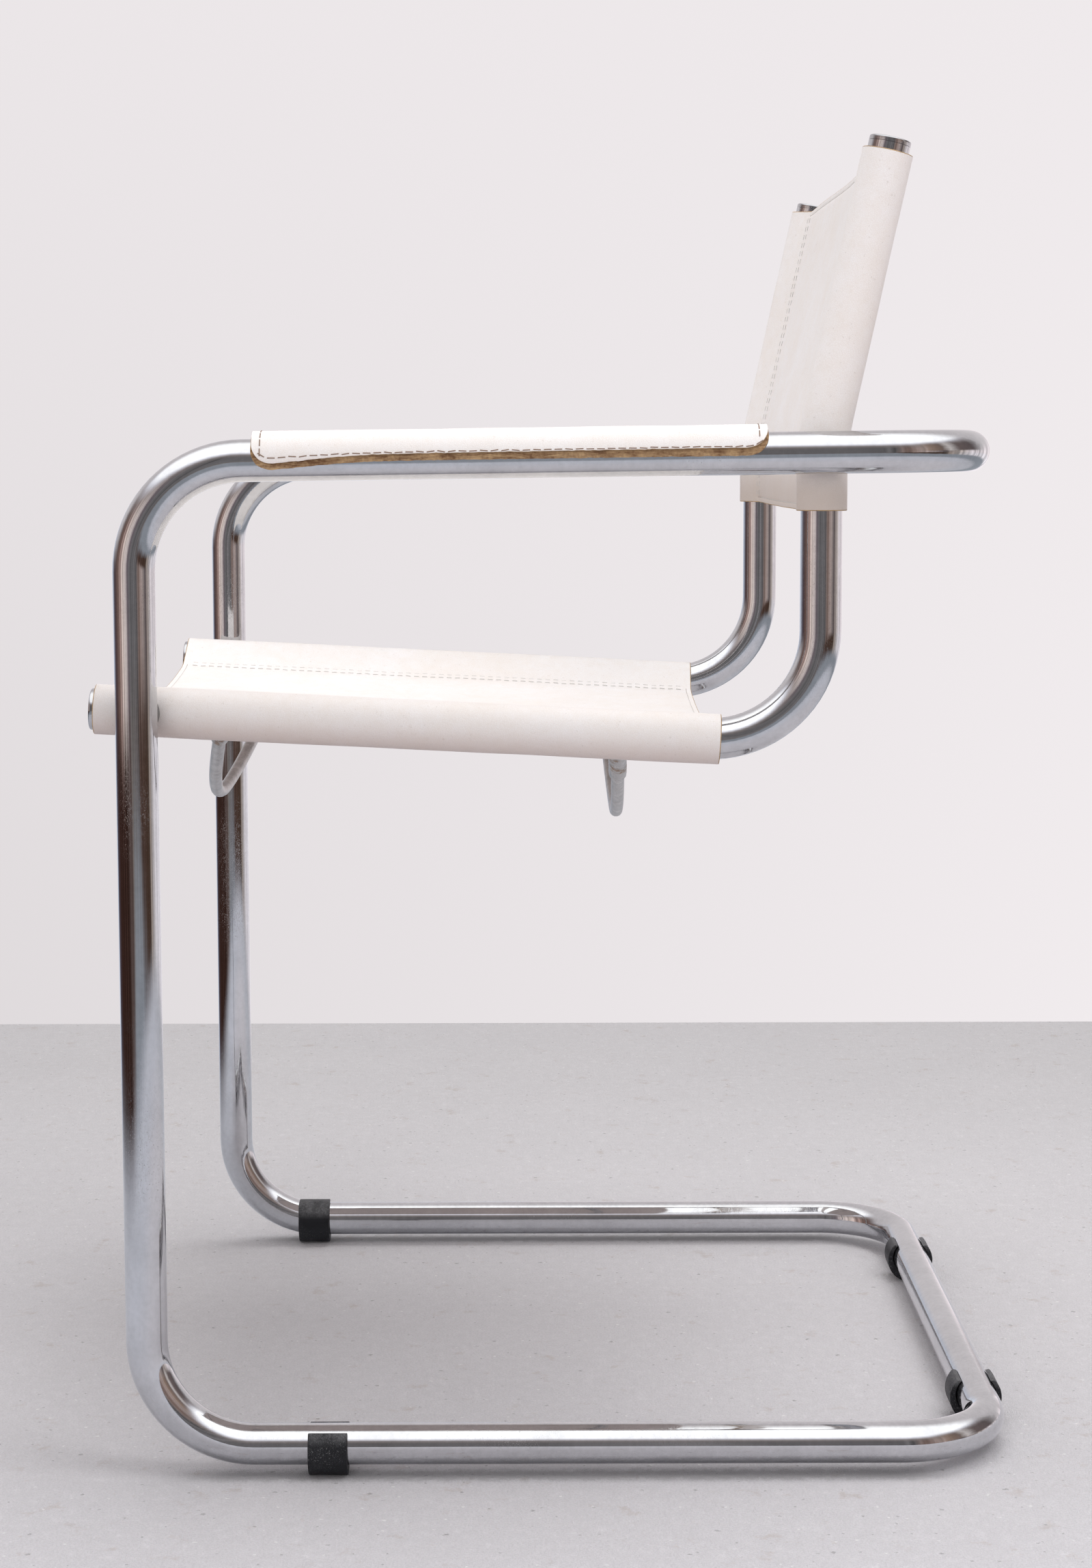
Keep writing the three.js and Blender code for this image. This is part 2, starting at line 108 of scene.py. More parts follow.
AXIS_X = Vector((1, 0, 0))
AXIS_Y = Vector((0, 1, 0))
AXIS_Z = Vector((0, 0, 1))
QUARTER = math.pi / 2
RAIL_AHEAD = Vector((0, math.cos(RAIL_FALL), -math.sin(RAIL_FALL)))
ARM_AHEAD = Vector((0, math.cos(ARM_RISE), math.sin(ARM_RISE)))
POST_AHEAD = Vector((0, math.sin(POST_LEAN), math.cos(POST_LEAN)))

SIDES = ("left", "right")
ENDS = ("front", "rear")
MERGE_DISTANCE = 0.00001
ROUTE_ERROR = 0.0001
ROD_SIDES = 24
FRAME_ROUGHNESS = 0.03

# Stage: crumbs are cell scale, radius, share of the cells and tone; the dust and a painted shadow lie along the
# runners
FLOOR_SIZE = 6.0
FLOOR_CRUMBS = ((70.0, 0.080, 0.20, 0.42), (30.0, 0.055, 0.16, 0.38), (55.0, 0.070, 0.20, 1.45))
RUNNER_DUST_AND_SHADOW_X = 0.2718
FILL_COLOUR = (1.0, 0.975, 0.96, 1)
LAMP_COLOUR = (1.0, 0.99, 0.975)
CAMERA_PLACE = (1.97135, -0.01689, 0.60742)
CAMERA_TURN = (0.0044, -0.1089, -0.0017)
SENSOR_WIDTH = 36


def place(x, depth, height):
    """A point of the CAD layout, in the row frame."""
    return Vector((x, depth + DEPTH_SHIFT, height + HEIGHT_SHIFT))


def rail_height(depth):
    return RAIL_HEIGHT - depth * math.tan(RAIL_FALL)


def rail_front():
    return place(RAIL_X, -RAIL_OVERHANG, rail_height(-RAIL_OVERHANG))


def arm_height(depth):
    return ARM_HEIGHT + depth * math.tan(ARM_RISE)


def colour_property(name, description, default):
    return FloatVectorProperty(name=name, description=description, default=default, subtype="COLOR", min=0, max=1)


def length_property(name, description, default):
    return FloatProperty(name=name, description=description, default=default, unit="LENGTH", precision=5, min=0)


def power_property(name, description, default):
    return FloatProperty(name=name, description=description, default=default, unit="POWER")


class ChairTubeSettings(bpy.types.PropertyGroup):
    wall: length_property("Tube wall", "Thickness of the steel tube's wall", 0.002)
    sides: IntProperty(name="Sides", description="Facets round a tube", default=48, min=12, max=96)
    bend_steps: IntProperty(name="Bend steps", description="Facets along a quarter bend", default=20, min=6, max=48)
    chrome: colour_property("Chrome", "Colour of the chromed tube", (0.58, 0.583, 0.595))
    cap_rounding: length_property("Cap rounding", "Radius of the rim of an end cap", 0.0011)


class ChairLeatherSettings(bpy.types.PropertyGroup):
    thickness: length_property("Thickness", "Thickness of the sling leather", 0.0023)
    stitch_length: length_property("Stitch length", "Visible length of one stitch", 0.0039)
    stitch_pitch: length_property("Stitch pitch", "Distance from one stitch to the next", 0.0061)
    seam_row: length_property("Seam row", "Distance of each row of stitches from the seam's line", 0.0030)
    arm_stitch: length_property("Arm stitch", "Visible length of a stitch in the arm covers", 0.0049)
    edge_inset: length_property("Edge inset", "Distance of the edge stitching from a free edge", 0.0038)
    crease: length_property("Crease depth", "How far the edge stitching draws the leather in", 0.00035)
    white: colour_property("Leather", "Colour of the finished side", (0.920, 0.906, 0.922))
    raw: colour_property("Raw edge", "Colour of the cut edge", (0.56, 0.38, 0.21))
    lining: colour_property("Arm lining", "Colour of the raw layer under the arm covers", (0.17, 0.085, 0.04))
    thread: colour_property("Thread", "Colour of the slings' thread", (0.64, 0.62, 0.61))
    dark_thread: colour_property("Arm thread", "Colour of the arm covers' thread", (0.25, 0.17, 0.13))


class ChairFittingSettings(bpy.types.PropertyGroup):
    rod: length_property("Stretcher rod", "Diameter of the stretcher rods", 0.0084)
    socket: length_property("Socket", "Diameter of the stretchers' sockets", 0.0114)
    spacer: length_property("Spacer", "Diameter of the spacers", 0.024)
    glide_wall: length_property("Glide wall", "Thickness of a glide", 0.0055)
    glide_length: length_property("Glide length", "Length of a glide along the tube", 0.0238)
    steel: colour_property("Steel", "Colour of the plain steel", (0.50, 0.49, 0.48))
    plastic: colour_property("Plastic", "Colour of the glides", (0.0065, 0.007, 0.009))


class ChairStageSettings(bpy.types.PropertyGroup):
    floor: colour_property("Floor", "Colour of the floor", (0.772, 0.756, 0.790))
    wall: colour_property("Wall", "Colour of the wall behind", (0.855, 0.815, 0.83))
    wall_distance: length_property("Wall distance", "Distance from the chair's middle to the wall line", 1.166)
    key_power: power_property("Key light", "Power of the main soft light", 12)
    top_power: power_property("Top light", "Power of the soft light above", 36)
    side_power: power_property("Side light", "Power of the soft light beside the camera", 19)
    fill: FloatProperty(name="Fill", description="Strength of the light from all round", default=0.68, min=0)
    lens: FloatProperty(name="Lens", description="Focal length of the camera", default=66.452, unit="CAMERA")


# Selection and finishing
def stop_editing():
    bpy.ops.object.mode_set(mode="OBJECT")


def clear_selection():
    if bpy.context.mode != "OBJECT":
        stop_editing()
    bpy.ops.object.select_all(action="DESELECT")


def pick(piece):
    clear_selection()
    piece.select_set(True)
    bpy.context.view_layer.objects.active = piece


def edit(piece, action="DESELECT"):
    """Opens a piece in edit mode, with nothing or everything selected."""
    pick(piece)
    bpy.ops.object.mode_set(mode="EDIT")
    bpy.ops.mesh.select_mode(type="VERT")
    bpy.ops.mesh.select_all(action=action)


def select_where(piece, kind, test):
    """Selects the vertices whose place passes the test, or the faces whose normal does, and stays in edit mode."""
    bpy.ops.mesh.select_all(action="DESELECT")
    bpy.ops.mesh.select_mode(type=kind)
    stop_editing()
    for part in piece.data.polygons if kind == "FACE" else piece.data.vertices:
        part.select = test(part.normal if kind == "FACE" else part.co)
    bpy.ops.object.mode_set(mode="EDIT")


def clean_surface(piece):
    """Merges doubled points and turns the faces outwards, before any wall gets its thickness."""
    edit(piece, "SELECT")
    bpy.ops.mesh.remove_doubles(threshold=MERGE_DISTANCE)
    bpy.ops.mesh.normals_make_consistent(inside=False)
    stop_editing()


def add_modifier(piece, kind, **settings):
    pick(piece)
    bpy.ops.object.modifier_add(type=kind)
    modifier = piece.modifiers[-1]
    for key, value in settings.items():
        setattr(modifier, key, value)
    bpy.ops.object.modifier_apply(modifier=modifier.name)


def smooth(piece, angle=40):
    pick(piece)
    bpy.ops.object.shade_smooth_by_angle(angle=math.radians(angle))


def round_edges(piece, width, segments, angle, **settings):
    limit = math.radians(angle)
    add_modifier(piece, "BEVEL", width=width, segments=segments, limit_method="ANGLE", angle_limit=limit, **settings)


def thicken_sheet(piece, materials, thickness, rounding, segments):
    """Gives a sheet its thickness, with its second material on the cut edge, and rounds that edge."""
    for material in materials:
        piece.data.materials.append(material)
    add_modifier(piece, "SOLIDIFY", thickness=thickness, offset=0, use_even_offset=True, material_offset_rim=1)
    round_edges(piece, rounding, segments, 60, material=1)
    smooth(piece, 50)


def slide(piece, test, offset):
    """Moves the vertices that pass the test."""
    edit(piece)
    select_where(piece, "VERT", test)
    bpy.ops.transform.translate(value=offset)
    stop_editing()


def both_sides(left):
    """A left piece and its copy on the other side of the middle plane, each with the name of its side."""
    pick(left)
    bpy.ops.object.duplicate()
    right = bpy.context.object
    right.name = right.data.name = left.name.replace("left", "right")
    right.scale.x = -1
    bpy.ops.object.transform_apply(scale=True)
    clean_surface(right)
    return (left, "left"), (right, "right")


def finish_piece(piece, nodes, materials):
    """Gives a piece its materials, and ties it to the frame."""
    shown = [face.material_index for face in piece.data.polygons]
    piece.data.materials.clear()
    for material in materials:
        piece.data.materials.append(material)
    piece.data.polygons.foreach_set("material_index", shown)
    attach(piece, "root")
    if nodes:
        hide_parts(*nodes)


def finish_tube(piece, node, tube):
    """Gives a tube its wall and its chrome."""
    add_modifier(piece, "SOLIDIFY", thickness=tube.wall, offset=-1, use_even_offset=True)
    smooth(piece)
    finish_piece(piece, [node], [chrome_material("frame_chrome", tube.chrome, FRAME_ROUGHNESS)])


# Node trees
def feed(tree, node, inputs):
    """Sets a node's inputs; each is a value, or a socket to link from."""
    for key, value in inputs.items():
        if isinstance(value, bpy.types.NodeSocket):
            tree.links.new(value, node.inputs[key])
        else:
            node.inputs[key].default_value = value
    return node


def put(tree, kind, settings=None, inputs=None):
    """Adds a node with its settings and inputs."""
    made = tree.nodes.new(kind)
    for key, value in (settings or {}).items():
        setattr(made, key, value)
    return feed(tree, made, inputs or {})


def maths(tree, operation, a, b=0.0, c=0.0, clamp=False):
    settings = {"operation": operation, "use_clamp": clamp}
    return put(tree, "ShaderNodeMath", settings, {0: a, 1: b, 2: c}).outputs[0]


def times(tree, a, b, clamp=False):
    return maths(tree, "MULTIPLY", a, b, clamp=clamp)


def times_plus(tree, a, b, c, clamp=False):
    return maths(tree, "MULTIPLY_ADD", a, b, c, clamp)


def size_of(tree, value):
    return maths(tree, "ABSOLUTE", value)


def apart(tree, a, b):
    """The distance between two values."""
    return size_of(tree, maths(tree, "SUBTRACT", a, b))


def split(tree, vector):
    return put(tree, "ShaderNodeSeparateXYZ", None, {0: vector}).outputs


def grey(tree, value):
    return put(tree, "ShaderNodeCombineColor", None, {0: value, 1: value, 2: value}).outputs[0]


def ramp(tree, factor, stops):
    """A colour ramp from (position, colour) stops; a plain number is a grey."""
    made = put(tree, "ShaderNodeValToRGB", None, {"Fac": factor})
    elements = made.color_ramp.elements
    while len(elements) < len(stops):
        elements.new(0.5)
    for element, (position, _) in zip(elements, stops):
        element.position = position
    for element, (_, colour) in zip(elements, stops):
        element.color = (*colour, 1) if isinstance(colour, tuple) else (colour, colour, colour, 1)
    return made.outputs["Color"]


def between(tree, value, start, end):
    """0 before start and 1 past end, with a soft step; start may be the larger."""
    settings = {"Value": value, "From Min": start, "From Max": end}
    return put(tree, "ShaderNodeMapRange", {"interpolation_type": "SMOOTHSTEP"}, settings).outputs["Result"]


def blend_colours(tree, factor, a, b, blend="MIX"):
    """Mixes two colours; each is a socket, or red, green and blue."""
    a, b = (colour if isinstance(colour, bpy.types.NodeSocket) else tuple(colour)[:3] + (1,) for colour in (a, b))
    settings = {"data_type": "RGBA", "blend_type": blend}
    return put(tree, "ShaderNodeMix", settings, {0: factor, 6: a, 7: b}).outputs[2]


def tinted(tree, a, b):
    return blend_colours(tree, 1.0, a, b, "MULTIPLY")


def stained(tree, tint, mask, amount, colour):
    """A tint that takes on part of another colour where the mask is white."""
    return blend_colours(tree, times(tree, mask, amount), tint, colour)


def scaled(colour, share):
    return [min(part * share, 1) for part in colour]


def shades(tree, factor, colour, low, high):
    """A colour between its darker and lighter shade."""
    return blend_colours(tree, factor, scaled(colour, low), scaled(colour, high))


def texture_noise(tree, where, scale, detail, **more):
    """A noise texture's value; more sets its roughness or its distortion."""
    inputs = {"Vector": where, "Scale": scale, "Detail": detail}
    inputs.update({label.capitalize(): value for label, value in more.items()})
    return put(tree, "ShaderNodeTexNoise", None, inputs).outputs["Fac"]


def mapped(tree, where, **change):
    """Coordinates moved, turned or stretched."""
    inputs = {label.capitalize(): value for label, value in change.items()}
    return put(tree, "ShaderNodeMapping", None, {"Vector": where, **inputs}).outputs["Vector"]


def warped(tree, where, scale, reach):
    """Coordinates that wander a little, which makes cells ragged."""
    drift = put(tree, "ShaderNodeTexNoise", None, {"Vector": where, "Scale": scale, "Detail": 2.0})
    inputs = {0: drift.outputs["Color"], 1: (reach,) * 3, 2: where}
    return put(tree, "ShaderNodeVectorMath", {"operation": "MULTIPLY_ADD"}, inputs).outputs[0]


def mix_shaders(tree, factor, a, b):
    return put(tree, "ShaderNodeMixShader", None, {0: factor, 1: a, 2: b}).outputs[0]


def new_group(name, inputs, outputs):
    """A shader node group that gives values; its inputs have defaults, and None stands for a vector."""
    group = bpy.data.node_groups.new(name, "ShaderNodeTree")
    for label, default in inputs.items():
        kind = "NodeSocketVector" if default is None else "NodeSocketFloat"
        socket = group.interface.new_socket(name=label, in_out="INPUT", socket_type=kind)
        if default is not None:
            socket.default_value = default
    for label in outputs:
        group.interface.new_socket(name=label, in_out="OUTPUT", socket_type="NodeSocketFloat")
    return group, group.nodes.new("NodeGroupInput").outputs, group.nodes.new("NodeGroupOutput")


def leather_grain_group(name):
    """Pores, fine creases and slow undulation of leather."""
    group, given, sink = new_group(name, {"Vector": None, "Pore Size": 0.0011, "Creasing": 0.5}, ("Height", "Pores"))
    where = given["Vector"]
    fine = maths(group, "DIVIDE", 1.0, given["Pore Size"])
    inputs = {"Vector": warped(group, where, 240.0, 0.0008), "Scale": fine}
    cells = put(group, "ShaderNodeTexVoronoi", {"feature": "DISTANCE_TO_EDGE"}, inputs)
    pores = ramp(group, cells.outputs["Distance"], [(0.0, 1.0), (0.16, 0.0)])
    creases = texture_noise(group, where, 90.0, 6.0, roughness=0.62, distortion=0.8)
    folds = ramp(group, creases, [(0.42, 1.0), (0.5, 0.0), (0.58, 1.0)])
    height = times_plus(group, pores, -0.30, 0.5)
    height = times_plus(group, times(group, folds, given["Creasing"]), 0.35, height)
    height = times_plus(group, texture_noise(group, where, 16.0, 3.0), 0.6, height)
    feed(group, sink, {"Height": height, "Pores": pores})
    return group


def scuff_group(name):
    """Fine scratches and small dull marks on metal or plastic."""
    group, given, sink = new_group(name, {"Vector": None, "Scale": 60.0, "Amount": 0.4}, ("Mask", "Height"))
    where = given["Vector"]
    spread = ramp(group, texture_noise(group, where, 11.0, 3.0), [(0.46, 0.0), (0.66, 1.0)])
    turned = mapped(group, where, rotation=(0.5, 0.9, 0.3), scale=(1.0, 14.0, 3.0))
    lines = texture_noise(group, turned, given["Scale"], 4.0, distortion=0.4)
    scratches = ramp(group, lines, [(0.485, 0.0), (0.5, 1.0), (0.515, 0.0)])
    dots = ramp(group, texture_noise(group, where, 1100.0, 1.0), [(0.66, 0.0), (0.72, 1.0)])
    marks = maths(group, "MAXIMUM", scratches, dots)
    mask = times(group, times(group, marks, spread), given["Amount"], clamp=True)
    feed(group, sink, {"Mask": mask, "Height": maths(group, "SUBTRACT", 1.0, mask)})
    return group


def mottle_group(name):
    """Cloudy variation at two sizes, from 0 to 1."""
    group, given, sink = new_group(name, {"Vector": None, "Scale": 40.0, "Contrast": 1.0}, ("Fac",))
    large = texture_noise(group, given["Vector"], given["Scale"], 5.0, roughness=0.65)
    small = texture_noise(group, given["Vector"], times(group, given["Scale"], 9.0), 3.0)
    both = times_plus(group, small, 0.35, times(group, large, 0.65))
    centred = times(group, maths(group, "SUBTRACT", both, 0.5), given["Contrast"])
    feed(group, sink, {"Fac": times_plus(group, centred, 3.0, 0.5, clamp=True)})
    return group


def crease_shade_group(name):
    """Painted shade: a thin dark line in the crease inside both free edges of a sheet, between its seams, from the
    sheet's UV map in metres.
    """
    lengths = dict.fromkeys(("Across", "Along", "Inset", "Reach"), 0.1)
    group, given, sink = new_group(name, {"Vector": None, **lengths}, ("Mask",))
    parts = split(group, given["Vector"])
    drift = times_plus(group, texture_noise(group, given["Vector"], 130.0, 2.0), 0.0006, -0.0003)
    along = maths(group, "ADD", parts["Y"], drift)
    first = apart(group, along, given["Inset"])
    last = apart(group, maths(group, "SUBTRACT", given["Along"], given["Inset"]), along)
    line = between(group, maths(group, "MINIMUM", first, last), 0.00055, 0.0001)
    away = apart(group, parts["X"], times(group, given["Across"], 0.5))
    feed(group, sink, {"Mask": times(group, line, maths(group, "LESS_THAN", away, given["Reach"]))})
    return group


def use_group(tree, name, build, inputs):
    """The outputs of a shared group, which is built when it is first used."""
    group = bpy.data.node_groups.get(name) or build(name)
    return put(tree, "ShaderNodeGroup", {"node_tree": group}, inputs).outputs


def scuffs(tree, where, scale, amount):
    return use_group(tree, "Scuffs", scuff_group, {"Vector": where, "Scale": scale, "Amount": amount})


def mottle(tree, where, scale, contrast):
    return use_group(tree, "Mottle", mottle_group, {"Vector": where, "Scale": scale, "Contrast": contrast})["Fac"]


# Materials
def new_material(name):
    material = bpy.data.materials.new(name)
    material.use_nodes = True
    tree = material.node_tree
    return material, tree, tree.nodes["Principled BSDF"], put(tree, "ShaderNodeTexCoord").outputs["Object"]


def made_once(build):
    """Builds a material when it is first asked for, and finds it by its name from then on."""
    return lambda name, *looks: bpy.data.materials.get(name) or build(name, *looks)


def bump(tree, shader, height, distance, strength):
    made = put(tree, "ShaderNodeBump", None, {"Height": height, "Distance": distance, "Strength": strength})
    feed(tree, shader, {"Normal": made.outputs["Normal"]})


@made_once
def chrome_material(name, colour, roughness):
    """Bright chrome with a slightly uneven plating, fine scratches and dull specks."""
    material, tree, shader, where = new_material(name)
    marks = scuffs(tree, where, 70.0, 0.8)
    cloud = mottle(tree, where, 34.0, 1.0)
    tint = stained(tree, shades(tree, cloud, colour, 0.88, 1.07), marks["Mask"], 0.5, (0.42, 0.41, 0.41))
    rough = times_plus(tree, cloud, 0.03, times_plus(tree, marks["Mask"], 0.35, roughness))
    feed(tree, shader, {"Base Color": tint, "Metallic": 1.0, "Roughness": rough})
    height = times_plus(tree, marks["Height"], 0.05, texture_noise(tree, where, 22.0, 1.0))
    bump(tree, shader, height, 0.00012, 0.6)
    return material


@made_once
def steel_material(name, colour, rust):
    """Satin rod steel, mottled, with brown rust in places."""
    material, tree, shader, where = new_material(name)
    cloud = mottle(tree, where, 120.0, 1.4)
    patches = ramp(tree, texture_noise(tree, where, 85.0, 5.0, roughness=0.7), [(0.52, 0.0), (0.64, 1.0)])
    rusty = times(tree, patches, rust, clamp=True)
    brown = blend_colours(tree, cloud, (0.16, 0.085, 0.045), (0.36, 0.24, 0.15))
    tint = blend_colours(tree, rusty, shades(tree, cloud, colour, 0.66, 1.25), brown)
    rough = times_plus(tree, cloud, 0.2, 0.28)
    rough = times_plus(tree, scuffs(tree, where, 160.0, 0.7)["Mask"], 0.15, rough)
    rough = times_plus(tree, rusty, 0.35, rough)
    feed(tree, shader, {"Base Color": tint, "Metallic": times_plus(tree, rusty, -0.55, 0.6), "Roughness": rough})
    bump(tree, shader, maths(tree, "ADD", cloud, rusty), 0.00012, 0.5)
    return material


@made_once
def plastic_material(name, colour):
    """Black moulded plastic, greyed where it is worn on its edges, with a painted highlight greying the tops of its
    lips.
    """
    material, tree, shader, where = new_material(name)
    cloud = mottle(tree, where, 90.0, 1.2)
    edges = ramp(tree, put(tree, "ShaderNodeNewGeometry").outputs["Pointiness"], [(0.52, 0.0), (0.62, 1.0)])
    worn = times_plus(tree, times(tree, edges, cloud), 0.5, scuffs(tree, where, 200.0, 0.9)["Mask"], clamp=True)
    # Painted highlight: the tops of the lips are greyed, as if lit from above
    lip_top_highlight = between(tree, split(tree, where)["Z"], 0.021, 0.028)
    worn = times_plus(tree, times(tree, lip_top_highlight, cloud), 0.55, worn, clamp=True)
    tint = blend_colours(tree, worn, shades(tree, cloud, colour, 0.8, 1.5), (0.20, 0.20, 0.21))
    rough = times_plus(tree, cloud, 0.2, 0.42)
    feed(tree, shader, {"Base Color": tint, "Roughness": rough, "Specular IOR Level": 0.25})
    bump(tree, shader, cloud, 0.0001, 0.5)
    return material


@made_once
def leather_material(name, colour, sheet):
    """White finished leather: pores, creases, painted warm shade on faces that turn downward, a painted shadow under
    the arms on the back, and a pressed line inside a sling's edges with painted shade in it.
    """
    seat, back = name.startswith("seat"), name.startswith("back")
    material, tree, shader, where = new_material(name)
    settings = {"Vector": where, "Pore Size": 0.0011, "Creasing": 0.4}
    grain = use_group(tree, "Leather grain", leather_grain_group, settings)
    cloud = mottle(tree, where, 14.0, 0.9)
    at = split(tree, where)
    tint = blend_colours(tree, cloud, colour, [part * share for part, share in zip(colour, (0.97, 0.94, 0.90))])
    soiled = times_plus(tree, grain["Pores"], 0.16, times(tree, cloud, 0.05), clamp=True)
    tint = blend_colours(tree, soiled, tint, (0.62, 0.50, 0.43))
    # Painted shade: faces that turn downward take on a warm brown, more on the back and the arm covers than on the
    # seat
    facing = split(tree, put(tree, "ShaderNodeNewGeometry").outputs["Normal"])["Z"]
    tint = stained(tree, tint, between(tree, facing, 0.35, -1.0), 0.45 if seat else 0.70, (0.58, 0.43, 0.36))
    specks = ramp(tree, texture_noise(tree, where, 420.0, 2.0), [(0.68, 0.0), (0.74, 1.0)])
    tint = stained(tree, tint, specks, 0.22, (0.45, 0.38, 0.33))
    if back:
        # Painted shadow: below the arms' height the back is darker and browner, where the arms shade it
        tint = stained(tree, tint, between(tree, at["Z"], 0.625, 0.585), 0.72, (0.50, 0.41, 0.35))
    if seat:
        # The wraps round the rails are more soiled than the seat, most of all in front
        wrap = between(tree, size_of(tree, at["X"]), RAIL_X - 0.006, RAIL_X + 0.004)
        ahead = times_plus(tree, between(tree, at["Y"], 0.05, -0.25), 0.35, 0.35)
        tint = stained(tree, tint, wrap, ahead, tinted(tree, tint, (0.87, 0.845, 0.83)))
    if sheet:
        across, along, inset = sheet
        flat = put(tree, "ShaderNodeTexCoord").outputs["UV"]
        settings = {"Vector": flat, "Across": across, "Along": along, "Inset": inset, "Reach": SEAM_X + 0.001}
        line = use_group(tree, "Edge line", crease_shade_group, settings)["Mask"]
        # Painted shade: the crease that the edge stitching draws in is darkened
        tint = stained(tree, tint, line, 0.75, (0.27, 0.19, 0.16))
    rough = times_plus(tree, grain["Pores"], 0.12, 0.46)
    feed(tree, shader, {"Base Color": tint, "Roughness": rough, "Specular IOR Level": 0.2})
    bump(tree, shader, grain["Height"], 0.00022, 0.55)
    return material


@made_once
def raw_leather_material(name, light, dark, scale):
    """Cut or unfinished leather: fibrous streaks from light to dark brown."""
    material, tree, shader, where = new_material(name)
    stretched = mapped(tree, where, scale=(1.0, 0.22, 1.6))
    fibres = texture_noise(tree, stretched, scale, 6.0, roughness=0.7, distortion=0.6)
    share = times_plus(tree, mottle(tree, where, 60.0, 1.3), 0.7, -1.25)
    share = times_plus(tree, fibres, 2.6, share, clamp=True)
    feed(tree, shader, {"Base Color": blend_colours(tree, share, dark, light), "Roughness": 0.85})
    bump(tree, shader, fibres, 0.0003, 0.8)
    return material


def raw_edge_material(leather):
    return raw_leather_material("raw_edge", leather.raw, scaled(leather.raw, 0.55), 260.0)


@made_once
def thread_material(name, colour):
    """Twisted thread, with painted shade between its strands."""
    material, tree, shader, where = new_material(name)
    inputs = {"Vector": mapped(tree, where, rotation=(0.0, 0.6, 0.6)), "Scale": 700.0, "Distortion": 1.5}
    twist = put(tree, "ShaderNodeTexWave", None, inputs).outputs["Fac"]
    tint = shades(tree, mottle(tree, where, 80.0, 1.0), colour, 1.0, 1.2)
    feed(tree, shader, {"Base Color": stained(tree, tint, twist, 0.6, scaled(colour, 0.8)), "Roughness": 0.75})
    bump(tree, shader, twist, 0.0001, 0.5)
    return material


# Shapes
def facing(ahead):
    """The turn that lays a new primitive's axis along a heading."""
    return ahead.to_track_quat("Z", "Y").to_euler()


def new_primitive(name):
    piece = bpy.context.object
    piece.name = piece.data.name = name
    bpy.ops.object.transform_apply(location=True, rotation=True, scale=True)
    return piece


def new_ring(name, sides, radius, middle, ahead):
    clear_selection()
    turn = facing(ahead)
    bpy.ops.mesh.primitive_circle_add(
        vertices=sides, radius=radius, location=middle, rotation=turn, fill_type="NOTHING",
    )
    return new_primitive(name)


def new_cylinder(name, sides, radius, length, middle, turn):
    clear_selection()
    bpy.ops.mesh.primitive_cylinder_add(
        vertices=sides, radius=radius, depth=length, location=middle, rotation=turn,
    )
    return new_primitive(name)


def new_object(name, data):
    made = bpy.data.objects.new(name, data)
    bpy.context.scene.collection.objects.link(made)
    return made


def new_mesh_object(name, points, faces):
    mesh = bpy.data.meshes.new(name)
    mesh.from_pydata(points, [], faces)
    return new_object(name, mesh)


def bent_tube(name, start, heading, route, sides):
    """A tube's outer surface along straight runs and bends: a circle, extruded and spun."""
    tube = new_ring(name, sides, TUBE_RADIUS, start, heading)
    edit(tube, "SELECT")
    point, ahead = start.copy(), heading.copy()
    for step in route:
        if len(step) == 1:
            bpy.ops.mesh.extrude_region_move(TRANSFORM_OT_translate={"value": ahead * step[0]})
            point += ahead * step[0]
        else:
            bend, angle, axis, steps = step
            centre = point + axis.cross(ahead) * bend
            # Without a window a spin turns the other way
            bpy.ops.mesh.spin(steps=steps, angle=-angle, center=centre, axis=axis)
            turned = Matrix.Rotation(angle, 3, axis)
            point = centre + turned @ (point - centre)
            ahead = turned @ ahead
    stop_editing()
    ring = [vertex.co for vertex in tube.data.vertices if vertex.select]
    if (sum(ring, Vector()) / len(ring) - point).length > ROUTE_ERROR:
        raise RuntimeError(f"{name} ends in the wrong place")
    clean_surface(tube)
    return tube


def swept_rod(name, points, radius, shares=None):
    """A round rod along a curve, with closed ends; shares narrow it along its length."""
    clear_selection()
    line = bpy.data.curves.new(name, "CURVE")
    line.dimensions = "3D"
    line.bevel_depth = radius
    line.bevel_resolution = ROD_SIDES // 4 - 1
    line.use_fill_caps = True
    spline = line.splines.new("POLY")
    spline.points.add(len(points) - 1)
    for i, point in enumerate(points):
        spline.points[i].co = (*point, 1)
        spline.points[i].radius = shares[i] if shares else 1.0
    pick(new_object(name, line))
    bpy.ops.object.convert(target="MESH")
    made = bpy.context.object
    clean_surface(made)
    return made


def travelled(spots):
    """The length travelled at each spot of a line."""
    lengths = [0.0]
    for a, b in zip(spots, spots[1:]):
        lengths.append(lengths[-1] + (b - a).length)
    return lengths


def sheet_object(name, rows):
    """A sheet from rows of points, with a UV map in metres along and across it."""
    count = len(rows[0])
    points = [point for row in rows for point in row]
    faces = [
        (i * count + j, i * count + j + 1, (i + 1) * count + j + 1, (i + 1) * count + j)
        for i in range(len(rows) - 1)
        for j in range(count - 1)
    ]
    piece = new_mesh_object(name, points, faces)
    across = travelled(rows[len(rows) // 2])
    along = travelled([row[count // 2] for row in rows])
    layer = piece.data.uv_layers.new(name="UVMap")
    for loop in piece.data.loops:
        i, j = divmod(loop.vertex_index, count)
        layer.data[loop.index].uv = (across[j], along[i])
    return piece


